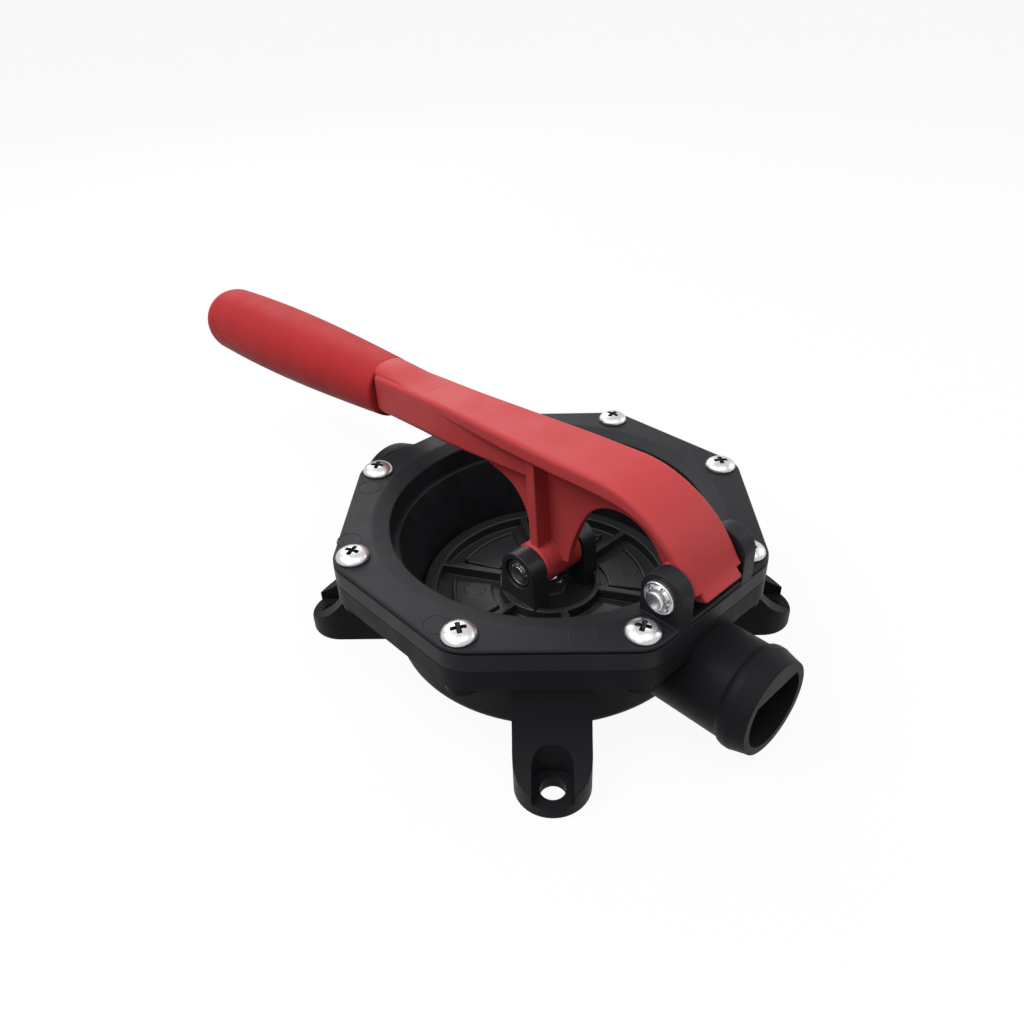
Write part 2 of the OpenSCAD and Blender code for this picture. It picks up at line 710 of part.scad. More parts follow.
module valve_cage() {
    slot = [4.8, 10.2];
    difference() {
        union() {
            difference() {
                rod_x(cage_r, cage_len);
                translate([seat_t, 0, 0]) rod_x(cage_bore, cage_len);
            }
            cap_x(cage_bore + 1, flap_chord + 0.4, seat_t - 1, 5);
        }
        difference() {
            translate([-1, 0, 0]) rod_x(seat_hole, seat_t + 2);
            translate([-2, -cage_r, 5.4]) cube([seat_t + 4, 2 * cage_r, cage_r]);
        }
        translate([flap_x - slot[0] / 2, -slot[1] / 2, flap_chord - 0.2])
            cube([slot[0], slot[1], 4.4]);
        translate([flap_x, 0, flap_pin_z]) rod_y(flap_pin_r + seated, 11);
        // Groove for the sealing ring
        translate([seal_x, 0, 0]) rotate([0, 90, 0]) rotate_extrude()
            translate([cage_r - 1.5, -0.9]) square([3, 1.8]);
    }
}

module valve_flap() {
    difference() {
        union() {
            translate([flap_x - flap_t / 2, 0, 0]) difference() {
                rod_x(flap_r, flap_t);
                translate([-1, -flap_r - 1, flap_chord - 1])
                    cube([flap_t + 2, 2 * flap_r + 2, flap_r]);
            }
            translate([flap_x - flap_t / 2, -4.8, flap_chord - 1.6])
                cube([flap_t, 9.6, flap_pin_z - flap_chord + 1.6]);
            translate([flap_x, 0, flap_pin_z]) rod_y(knuckle_r, 4.8);
        }
        translate([flap_x, 0, flap_pin_z]) rod_y(flap_pin_r + running, 6);
    }
}

module flap_pin() {
    translate([flap_x, 0, flap_pin_z]) rod_y(flap_pin_r, flap_pin_half);
}

module inlet_cage() { color(BLACK) in_inlet() valve_cage(); }
module inlet_flap() { color(RUBBER) in_inlet() valve_flap(); }
module inlet_flap_pin() { color(STEEL) in_inlet() flap_pin(); }
module outlet_cage() { color(BLACK) in_outlet() valve_cage(); }
module outlet_flap() { color(RUBBER) in_outlet() valve_flap(); }
module outlet_flap_pin() { color(STEEL) in_outlet() flap_pin(); }

module seal_ring() {
    translate([seal_x, 0, 0]) rotate([0, 90, 0]) rotate_extrude()
        translate([cage_r - seal_r, 0]) circle(seal_r, $fn = 24);
}

module cage_seals() {
    color(RUBBER) {
        in_inlet() seal_ring();
        in_outlet() seal_ring();
    }
}

pump_body();
clamp_ring();
clamp_screws();
diaphragm();
diaphragm_plate();
inner_plate();
plate_screw();
plate_washer();
plate_nut();
clevis_pin();
clevis_clips();
fulcrum_pin();
fulcrum_caps();
handle_lever();
handle_grip();
inlet_cage();
inlet_flap();
inlet_flap_pin();
outlet_cage();
outlet_flap();
outlet_flap_pin();
cage_seals();
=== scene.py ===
"""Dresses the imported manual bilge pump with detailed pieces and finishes.

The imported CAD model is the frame: millimetre sizes below are in its coordinates, with
+X along the outlet tail, +Z towards the lever, and the origin on the mounting face.
"""

import logging
import math
from dataclasses import dataclass
from enum import Enum
from typing import Protocol, Sequence

import bmesh
import bpy
from mathutils import Matrix, Vector


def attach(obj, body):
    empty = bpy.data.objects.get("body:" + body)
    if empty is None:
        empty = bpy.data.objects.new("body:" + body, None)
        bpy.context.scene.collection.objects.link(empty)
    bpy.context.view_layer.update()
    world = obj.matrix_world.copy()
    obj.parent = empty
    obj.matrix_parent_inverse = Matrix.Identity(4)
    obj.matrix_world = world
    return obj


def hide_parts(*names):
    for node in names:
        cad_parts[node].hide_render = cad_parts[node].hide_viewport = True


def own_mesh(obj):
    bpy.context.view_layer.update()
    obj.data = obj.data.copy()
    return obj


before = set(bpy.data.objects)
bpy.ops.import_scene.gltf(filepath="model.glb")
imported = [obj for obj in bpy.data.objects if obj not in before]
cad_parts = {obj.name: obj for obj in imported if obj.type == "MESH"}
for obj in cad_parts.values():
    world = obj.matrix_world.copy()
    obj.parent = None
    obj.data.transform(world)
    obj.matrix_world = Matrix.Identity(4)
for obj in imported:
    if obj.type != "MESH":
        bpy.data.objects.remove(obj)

LOG = logging.getLogger("bilge_pump")
MM = 0.001
MERGE_M = 2e-7
TINY = 1e-6
NOISE_LOW, NOISE_HIGH = 0.3, 0.7
SHARPEST = 0.4
BEVEL_SAMPLES = 6
Point = tuple[float, float, float]
Flat = tuple[float, float]
Socket = bpy.types.NodeSocket

# Turn local x, y, z into world x, z, y; x, z, -y; and y, z, x
ACROSS = Matrix(((1, 0, 0, 0), (0, 0, 1, 0), (0, 1, 0, 0), (0, 0, 0, 1)))
ACROSS_NEAR = Matrix(((1, 0, 0, 0), (0, 0, -1, 0), (0, 1, 0, 0), (0, 0, 0, 1)))
ALONG = Matrix(((0, 0, 1, 0), (1, 0, 0, 0), (0, 1, 0, 0), (0, 0, 0, 1)))
BOTH_SIDES = (ACROSS, ACROSS_NEAR)


class Body(str, Enum):
    """The CAD bodies that pieces ride on."""

    PUMP = "pump"
    HANDLE = "handle"
    PLATE = "plate"
    INLET = "inlet_valve"
    OUTLET = "outlet_valve"


class Slot(str, Enum):
    """The record's material slots."""

    BLACK = "black_plastic"
    RED = "red_plastic"
    GRIP = "grip_red"
    SCREW = "screw_steel"
    PIN = "pin_steel"
    RUBBER = "black_rubber"


class Tone(str, Enum):
    """Variants of a slot's finish on some pieces; two of them paint shade into the colour."""

    PLATE = "plate_plastic"
    # A darker copy of the black plastic for the pump body: painted shade on its lower faces.
    BODY_PAINTED_SHADE = "body_plastic_painted_shade"
    # Near black steel for the screws' cross recesses: painted shade in the recess.
    RECESS_PAINTED_SHADE = "recess_steel_painted_shade"
    NUT = "nut_steel"


# ---- Outlines ----------------------------------------------------------------------------


def shares(steps: int) -> list[float]:
    """Gives evenly spaced shares from 0 to 1, both included."""
    return [i / steps for i in range(steps + 1)]


def blend(start: float, end: float, share: float) -> float:
    """Gives the value at a share of the way from start to end."""
    return start + (end - start) * share


def share_of(value: float, start: float, end: float) -> float:
    """Gives how far a value has come from start to end, between 0 and 1."""
    return min(1.0, max(0.0, (value - start) / (end - start)))


def polar(radius: float, degrees: float, centre: Flat = (0.0, 0.0)) -> Flat:
    """Gives the point at an angle on a circle."""
    turn = math.radians(degrees)
    return centre[0] + radius * math.cos(turn), centre[1] + radius * math.sin(turn)


def arc(centre: Flat, radius: float, start: float, end: float, steps: int) -> list[Flat]:
    """Gives points on an arc, both ends included."""
    return [polar(radius, blend(start, end, share), centre) for share in shares(steps)]


def moved(x: float, y: float, z: float) -> Matrix:
    """Gives the matrix that moves the origin to a place."""
    return Matrix.Translation(Vector((x, y, z)))


def turned(degrees: float, axis: str = "Z") -> Matrix:
    """Gives the matrix that turns about an axis."""
    return Matrix.Rotation(math.radians(degrees), 4, axis)


def rounded(corners: Sequence[Point], steps: int = 4) -> list[Flat]:
    """Rounds the corners of an outline.

    Args:
        corners: Each corner's place and radius.
        steps: Segments of each rounding.

    Returns:
        The outline's points.
    """
    outline: list[Flat] = []
    for i, (x, y, radius) in enumerate(corners):
        if radius <= 0:
            outline.append((x, y))
            continue
        here = Vector((x, y))
        back = (Vector(corners[i - 1][:2]) - here).normalized()
        onward = (Vector(corners[(i + 1) % len(corners)][:2]) - here).normalized()
        half = back.angle(onward) / 2
        centre = here + (back + onward).normalized() * radius / math.sin(half)
        first = here + back * radius / math.tan(half) - centre
        last = here + onward * radius / math.tan(half) - centre
        start = math.atan2(first.y, first.x)
        sweep = math.remainder(math.atan2(last.y, last.x) - start, 2 * math.pi)
        outline += arc(tuple(centre), radius, math.degrees(start), math.degrees(start + sweep),
                       steps)
    return outline


def panel(low: Flat, high: Flat, near: float = 0.0, far: float = 0.0,
          steps: int = 4) -> list[Flat]:
    """Gives the outline of a rectangle.

    Args:
        low: The corner with the lowest coordinates.
        high: The opposite corner.
        near: The radius of the two corners at the lower y.
        far: The radius of the other two.
        steps: Segments of each rounding.

    Returns:
        The outline's points.
    """
    return rounded([(low[0], low[1], near), (high[0], low[1], near),
                    (high[0], high[1], far), (low[0], high[1], far)], steps)


def inset(outline: Sequence[Flat], depth: float) -> list[Flat]:
    """Moves every edge of an outline inwards by the same depth.

    Args:
        outline: The points, in either direction.
        depth: How far the edges move.

    Returns:
        As many points as before.
    """
    count = len(outline)
    pairs = [(outline[i - 1], outline[i]) for i in range(count)]
    side = 1.0 if sum(a[0] * b[1] - b[0] * a[1] for a, b in pairs) > 0 else -1.0
    result: list[Flat] = []
    for i in range(count):
        before, here, after = (Vector(outline[(i + k) % count]) for k in (-1, 0, 1))
        a, b = (here - before).normalized(), (after - here).normalized()
        normal_a, normal_b = Vector((-a.y, a.x)) * side, Vector((-b.y, b.x)) * side
        push = (normal_a + normal_b) * depth / max(SHARPEST, 1 + normal_a.dot(normal_b))
        result.append((here.x + push.x, here.y + push.y))
    return result


def spindle(radius: float, half: float, edge: Sequence[Flat]) -> list[Flat]:
    """Gives the profile of a turned pin that is alike at both ends.

    Args:
        radius: The pin's radius.
        half: Half its length.
        edge: Points of an end's edge: how far in from the radius and from the end.

    Returns:
        Radii and heights, from axis to axis.
    """
    end = [(radius - a, half - b) for a, b in edge] + [(0, half)]
    return [(r, -h) for r, h in reversed(end)] + end


class Shell:
    """Collects closed skins in millimetres and turns them into one mesh piece."""

    def __init__(self) -> None:
        """Starts with nothing."""
        self.points: list[Vector] = []
        self.faces: list[list[int]] = []
        # Faces that take the second, near black material: painted shade.
        self.painted_shade_faces: set[int] = set()

    def skin(self, loops: Sequence[Sequence[Point]], place: Matrix = Matrix(),
             ends: bool = True, closed: bool = False) -> None:
        """Joins closed loops of equal length, one after the other.

        Args:
            loops: The loops' points.
            place: Where the skin goes.
            ends: Whether the first and the last loop are filled.
            closed: Whether the last loop joins the first.
        """
        start, count = len(self.points), len(loops[0])
        for loop in loops:
            self.points.extend(place @ Vector(p) for p in loop)
        rows = [range(start + i * count, start + (i + 1) * count) for i in range(len(loops))]
        pairs = list(zip(rows, rows[1:])) + ([(rows[-1], rows[0])] if closed else [])
        for a, b in pairs:
            for j in range(count):
                k = (j + 1) % count
                self.faces.append([a[j], a[k], b[k], b[j]])
        if ends and not closed:
            self.faces.append(list(rows[0])[::-1])
            self.faces.append(list(rows[-1]))

    def lathe(self, profile: Sequence[Flat], place: Matrix = Matrix(), steps: int = 96,
              closed: bool = False) -> None:
        """Turns a profile of radius and height about Z.

        Args:
            profile: From axis to axis, or a closed section clear of the axis.
            place: Where the skin goes.
            steps: Segments around.
            closed: Whether the section is closed.
        """
        turns = [2 * math.pi * j / steps for j in range(steps)]
        loops = [[(r * math.cos(t), r * math.sin(t), h) for t in turns] for r, h in profile]
        self.skin(loops, place, ends=False, closed=closed)

    def prism(self, outline: Sequence[Flat], low: float, high: float, edge: float,
              place: Matrix = Matrix(), steps: int = 3) -> None:
        """Raises an outline to a solid with rounded rims.

        Args:
            outline: The points in x and y.
            low: The height of the underside.
            high: The height of the top.
            edge: The radius of the rims.
            place: Where the skin goes.
            steps: Segments of a rim.
        """
        turns = [math.pi / 2 * share for share in shares(steps)]
        rim = [(edge * (1 - math.sin(t)), edge * (1 - math.cos(t))) for t in turns]
        levels = [(d, low + h) for d, h in rim] + [(d, high - h) for d, h in reversed(rim)]
        self.skin([[(x, y, z) for x, y in inset(outline, d)] for d, z in levels], place)

    def piece(self, name: str, body: Body, slot: Slot, finishes: "Finishes",
              replaces: Sequence[str], crease: float = 38,
              tone: "Tone | None" = None) -> bpy.types.Object:
        """Makes the piece from what was collected.

        Args:
            name: The piece's name.
            body: The body that it rides on.
            slot: The slot of its finish.
            finishes: Where the finish comes from.
            replaces: The CAD nodes that it stands for.
            crease: The angle in degrees above which an edge stays sharp.
            tone: A variant of the slot's finish, where the piece has its own.

        Returns:
            The new object.
        """
        mesh = bpy.data.meshes.new(name)
        mesh.from_pydata([p * MM for p in self.points], [], self.faces)
        for face in self.painted_shade_faces:
            mesh.polygons[face].material_index = 1
        work = bmesh.new()
        work.from_mesh(mesh)
        bmesh.ops.remove_doubles(work, verts=work.verts, dist=MERGE_M)
        bmesh.ops.recalc_face_normals(work, faces=work.faces)
        work.to_mesh(mesh)
        work.free()
        mesh.shade_smooth()
        mesh.set_sharp_from_angle(angle=math.radians(crease))
        mesh.materials.append(finishes.pick(slot, tone))
        # The second material paints shade into the marked faces.
        if self.painted_shade_faces:
            mesh.materials.append(finishes.by_tone[Tone.RECESS_PAINTED_SHADE])
        made = bpy.data.objects.new(name, mesh)
        bpy.context.scene.collection.objects.link(made)
        weigh = made.modifiers.new("even_normals", "WEIGHTED_NORMAL")
        weigh.keep_sharp = True
        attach(made, body.value)
        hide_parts(*replaces)
        LOG.info("built %s: %d faces", name, len(mesh.polygons))
        return made


# ---- Finishes ----------------------------------------------------------------------------


def grey(level: float) -> tuple[float, float, float, float]:
    """Gives a grey with full alpha."""
    return level, level, level, 1.0


class Nodes:
    """Adds and links the nodes of one node tree."""

    def __init__(self, tree: bpy.types.NodeTree) -> None:
        """Takes a tree and empties it."""
        self.tree = tree
        self.tree.nodes.clear()

    def add(self, kind: str, **settings: object) -> bpy.types.Node:
        """Adds a node.

        Args:
            kind: The node's type.
            **settings: Its attributes.

        Returns:
            The new node.
        """
        node = self.tree.nodes.new(kind)
        for key, value in settings.items():
            setattr(node, key, value)
        return node

    def link(self, source: Socket, target: Socket) -> None:
        """Links one socket to another."""
        self.tree.links.new(source, target)

    def math(self, operation: str, *values: "Socket | float") -> Socket:
        """Adds a Math node.

        Args:
            operation: The node's operation.
            *values: Sockets or numbers, in order.

        Returns:
            The result's socket.
        """
        node = self.add("ShaderNodeMath", operation=operation)
        for i, value in enumerate(values):
            if isinstance(value, (int, float)):
                node.inputs[i].default_value = value
            else:
                self.link(value, node.inputs[i])
        return node.outputs[0]

    def shader_of(self, kind: str, **values: "float | Sequence[float]") -> Socket:
        """Adds a plain shader node.

        Args:
            kind: The node's type.
            **values: Its constants, by input.

        Returns:
            The shader's socket.
        """
        node = self.add(kind)
        for key, value in values.items():
            node.inputs[key].default_value = value
        return node.outputs[0]

    def either(self, factor: Socket, first: Socket, second: Socket) -> Socket:
        """Mixes two shaders.

        Args:
            factor: The share of the second shader.
            first: The shader at 0.
            second: The shader at 1.

        Returns:
            The mixed shader's socket.
        """
        node = self.add("ShaderNodeMixShader")
        for key, socket in enumerate((factor, first, second)):
            self.link(socket, node.inputs[key])
        return node.outputs[0]

    def seen_directly(self, rays: bpy.types.Node) -> Socket:
        """Gives 1 where a Light Path's ray shows the background to the eye."""
        seen = [rays.outputs[f"Is {kind} Ray"] for kind in ("Camera", "Glossy", "Transmission")]
        return self.math("MAXIMUM", self.math("MAXIMUM", seen[0], seen[1]), seen[2])


class Graph(Nodes):
    """Builds one material's node tree."""

    def __init__(self, name: str) -> None:
        """Starts a material with a Principled shader and object coordinates.

        Args:
            name: The material's name.
        """
        self.material = bpy.data.materials.new(name)
        self.material.use_nodes = True
        super().__init__(self.material.node_tree)
        self.out = self.add("ShaderNodeOutputMaterial")
        self.shader = self.add("ShaderNodeBsdfPrincipled")
        self.link(self.shader.outputs["BSDF"], self.out.inputs["Surface"])
        self.place = self.add("ShaderNodeTexCoord").outputs["Object"]

    def noise(self, size_mm: float, detail: float = 2.0, stretch: Point = (1, 1, 1)) -> Socket:
        """Adds noise in object space.

        Args:
            size_mm: The size of one blob.
            detail: The number of finer layers.
            stretch: Factors on the coordinates.

        Returns:
            The noise's value, about 0.5 on average.
        """
        mapping = self.add("ShaderNodeMapping")
        mapping.inputs["Scale"].default_value = stretch
        self.link(self.place, mapping.inputs["Vector"])
        node = self.add("ShaderNodeTexNoise")
        node.inputs["Scale"].default_value = 1 / (size_mm * MM)
        node.inputs["Detail"].default_value = detail
        self.link(mapping.outputs["Vector"], node.inputs["Vector"])
        return node.outputs["Fac"]

    def spread(self, value: Socket, low: float, high: float) -> Socket:
        """Maps the middle of a noise to a range, clamped.

        Args:
            value: The noise.
            low: The result where the noise is low.
            high: The result where it is high.

        Returns:
            The result's socket.
        """
        node = self.add("ShaderNodeMapRange")
        self.link(value, node.inputs["Value"])
        limits = {"From Min": NOISE_LOW, "From Max": NOISE_HIGH, "To Min": low, "To Max": high}
        for key, number in limits.items():
            node.inputs[key].default_value = number
        return node.outputs["Result"]

    def gloss(self, noise: Socket, roughness: float, change: Flat) -> Socket:
        """Gives a roughness that changes with a noise."""
        return self.spread(noise, roughness + change[0], roughness + change[1])

    def mix(self, factor: Socket, a: Point, b: Point) -> Socket:
        """Mixes two colours.

        Args:
            factor: The share of the second colour.
            a: The colour at 0.
            b: The colour at 1.

        Returns:
            The mixed colour's socket.
        """
        node = self.add("ShaderNodeMix", data_type="RGBA")
        node.inputs["A"].default_value = (*a, 1)
        node.inputs["B"].default_value = (*b, 1)
        self.link(factor, node.inputs["Factor"])
        return node.outputs["Result"]

    def bump(self, height: Socket, depth_mm: float, strength: float, under: Socket) -> Socket:
        """Adds a Bump node over another normal.

        Args:
            height: The height's socket, from 0 to 1.
            depth_mm: The height of 1.
            strength: How much of it shows.
            under: The normal below it.

        Returns:
            The new normal.
        """
        node = self.add("ShaderNodeBump")
        node.inputs["Distance"].default_value = depth_mm * MM
        node.inputs["Strength"].default_value = strength
        self.link(height, node.inputs["Height"])
        self.link(under, node.inputs["Normal"])
        return node.outputs["Normal"]

    def soft_edges(self, radius_mm: float) -> Socket:
        """Adds a normal that rounds edges and inner corners.

        Args:
            radius_mm: The radius of the rounding.

        Returns:
            The rounded normal.
        """
        node = self.add("ShaderNodeBevel", samples=BEVEL_SAMPLES)
        node.inputs["Radius"].default_value = radius_mm * MM
        return node.outputs["Normal"]

    def finish(self, colour: Socket, roughness: Socket, normal: Socket) -> bpy.types.Material:
        """Links what varies to the shader.

        Args:
            colour: The base colour.
            roughness: The roughness.
            normal: The normal.

        Returns:
            The material.
        """
        for socket, key in ((colour, "Base Color"), (roughness, "Roughness"), (normal, "Normal")):
            self.link(socket, self.shader.inputs[key])
        return self.material

    def set(self, **values: "float | Sequence[float]") -> None:
        """Sets constants on the shader; an underscore stands for a space."""
        for key, value in values.items():
            self.shader.inputs[key.replace("_", " ")].default_value = value


@dataclass(frozen=True)
class MouldedPlastic:
    """Injection-moulded plastic with a fine grain, faint flow marks and softened edges."""

    name: str
    colour: Point
    shade: Point
    roughness: float
    specular: float
    grain_mm: float = 0.35
    grain_depth_mm: float = 0.012
    grain_strength: float = 1.0
    edge_mm: float = 0.5
    flow_mm: float = 22
    gloss_mm: float = 9
    gloss_range: Flat = (-0.05, 0.06)

    def material(self) -> bpy.types.Material:
        """Builds the material.

        Returns:
            The plastic's material.
        """
        g = Graph(self.name)
        g.set(Specular_IOR_Level=self.specular)
        flow = g.spread(g.noise(self.flow_mm, detail=3), 0, 1)
        rough = g.gloss(g.noise(self.gloss_mm, detail=4), self.roughness, self.gloss_range)
        grain = g.bump(g.noise(self.grain_mm), self.grain_depth_mm, self.grain_strength,
                       g.soft_edges(self.edge_mm))
        return g.finish(g.mix(flow, self.colour, self.shade), rough, grain)


@dataclass(frozen=True)
class Steel:
    """Metal with fine turning marks."""

    name: str
    colour: Point
    roughness: float
    stain_mm: float = 3
    stain: float = 0.84
    scratch_mm: float = 0.25
    scratch_stretch: Point = (1, 0.15, 1)
    scratch_depth_mm: float = 0.01
    scratch_strength: float = 0.5
    gloss_range: Flat = (-0.05, 0.08)
    edge_mm: float = 0.12

    def material(self) -> bpy.types.Material:
        """Builds the material.

        Returns:
            The metal's material.
        """
        g = Graph(self.name)
        g.set(Metallic=1.0)
        stained = tuple(self.stain * c for c in self.colour)
        colour = g.mix(g.noise(self.stain_mm, detail=3), self.colour, stained)
        scratch = g.noise(self.scratch_mm, detail=3, stretch=self.scratch_stretch)
        rough = g.gloss(scratch, self.roughness, self.gloss_range)
        marks = g.bump(scratch, self.scratch_depth_mm, self.scratch_strength,
                       g.soft_edges(self.edge_mm))
        return g.finish(colour, rough, marks)


@dataclass(frozen=True)
class Rubber:
    """Dull moulded rubber with faint mottling."""

    name: str
    colour: Point
    roughness: float = 0.5
    specular: float = 0.15
    mottle_mm: float = 12
    mottle: float = 1.7
    gloss_mm: float = 6
    gloss_range: Flat = (-0.06, 0.08)
    grain_mm: float = 0.8
    grain_depth_mm: float = 0.02
    grain_strength: float = 0.8
    edge_mm: float = 0.3

    def material(self) -> bpy.types.Material:
        """Builds the material.

        Returns:
            The rubber's material.
        """
        g = Graph(self.name)
        g.set(Specular_IOR_Level=self.specular)
        light = tuple(self.mottle * c for c in self.colour)
        mottled = g.spread(g.noise(self.mottle_mm, detail=4), 0, 1)
        rough = g.gloss(g.noise(self.gloss_mm, detail=3), self.roughness, self.gloss_range)
        grain = g.bump(g.noise(self.grain_mm, detail=3), self.grain_depth_mm,
                       self.grain_strength, g.soft_edges(self.edge_mm))
        return g.finish(g.mix(mottled, self.colour, light), rough, grain)


NODES_BY_SLOT: dict[Slot, tuple[str, ...]] = {
    Slot.BLACK: ("pump_body", "clamp_ring", "diaphragm_plate", "inner_plate", "inlet_cage",
                 "outlet_cage"),
    Slot.RED: ("handle_lever",),
    Slot.GRIP: ("handle_grip",),
    Slot.SCREW: ("clamp_screws", "plate_screw", "plate_washer", "plate_nut", "clevis_clips",
                 "fulcrum_caps"),
    Slot.PIN: ("clevis_pin", "fulcrum_pin", "inlet_flap_pin", "outlet_flap_pin"),
    Slot.RUBBER: ("diaphragm", "inlet_flap", "outlet_flap", "cage_seals"),
}

# The pump body takes a darker copy of the black plastic: painted shade.
NODE_TONES: dict[str, Tone] = {
    "pump_body": Tone.BODY_PAINTED_SHADE, "inner_plate": Tone.PLATE, "plate_nut": Tone.NUT,
    "plate_washer": Tone.NUT,
}


class Finishes:
    """Makes each finish once and hands it out by slot."""

    def __init__(self) -> None:
        """Builds all materials."""
        slots: dict[Slot, MouldedPlastic | Steel | Rubber] = {
            Slot.BLACK: MouldedPlastic("black_moulded", (0.013, 0.0135, 0.0165),
                                       (0.017, 0.0175, 0.0205), roughness=0.44, specular=0.12),
            Slot.RED: MouldedPlastic("red_moulded", (0.51, 0.060, 0.063),
                                     (0.475, 0.053, 0.056), roughness=0.46, specular=0.1),
            Slot.GRIP: MouldedPlastic("red_grip", (0.43, 0.032, 0.034), (0.39, 0.028, 0.030),
                                      roughness=0.48, specular=0.04, grain_mm=0.5,
                                      grain_depth_mm=0.015),
            Slot.SCREW: Steel("screw_bright", (0.60, 0.60, 0.61), roughness=0.30),
            Slot.PIN: Steel("pin_bright", (0.70, 0.70, 0.71), roughness=0.26),
            Slot.RUBBER: Rubber("rubber_dull", (0.007, 0.007, 0.009)),
        }
        tones: dict[Tone, MouldedPlastic | Steel] = {
            Tone.PLATE: MouldedPlastic("plate_moulded", (0.018, 0.0185, 0.0212),
                                       (0.022, 0.0225, 0.0252), roughness=0.38,
                                       specular=0.3, edge_mm=0.4),
            # The pump body's darker copy of the black plastic: painted shade.
            Tone.BODY_PAINTED_SHADE: MouldedPlastic("body_moulded_painted_shade", (0.0095, 0.0098, 0.012),
                                      (0.012, 0.0122, 0.0145), roughness=0.48, specular=0.06),
            # Near black steel for the cross recesses: painted shade, not a finish of its own.
            Tone.RECESS_PAINTED_SHADE: Steel("recess_painted_shade", (0.03, 0.03, 0.032), roughness=0.6),
            Tone.NUT: Steel("nut_dim", (0.16, 0.16, 0.17), roughness=0.5),
        }
        self.by_slot: dict[Slot, bpy.types.Material] = {s: m.material() for s, m in slots.items()}
        self.by_tone: dict[Tone, bpy.types.Material] = {t: m.material() for t, m in tones.items()}

    def pick(self, slot: Slot, tone: "Tone | None") -> bpy.types.Material:
        """Gives the tone's finish, or the slot's own where there is no tone."""
        return self.by_tone[tone] if tone else self.by_slot[slot]

    def dress_nodes(self) -> None:
        """Puts the finishes on the CAD nodes."""
        for slot, nodes in NODES_BY_SLOT.items():
            for node in nodes:
                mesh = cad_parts[node].data
                mesh.materials.clear()
                mesh.materials.append(self.pick(slot, NODE_TONES.get(node)))
                LOG.info("dressed %s with %s", node, slot.value)


# ---- Lever and grip ----------------------------------------------------------------------


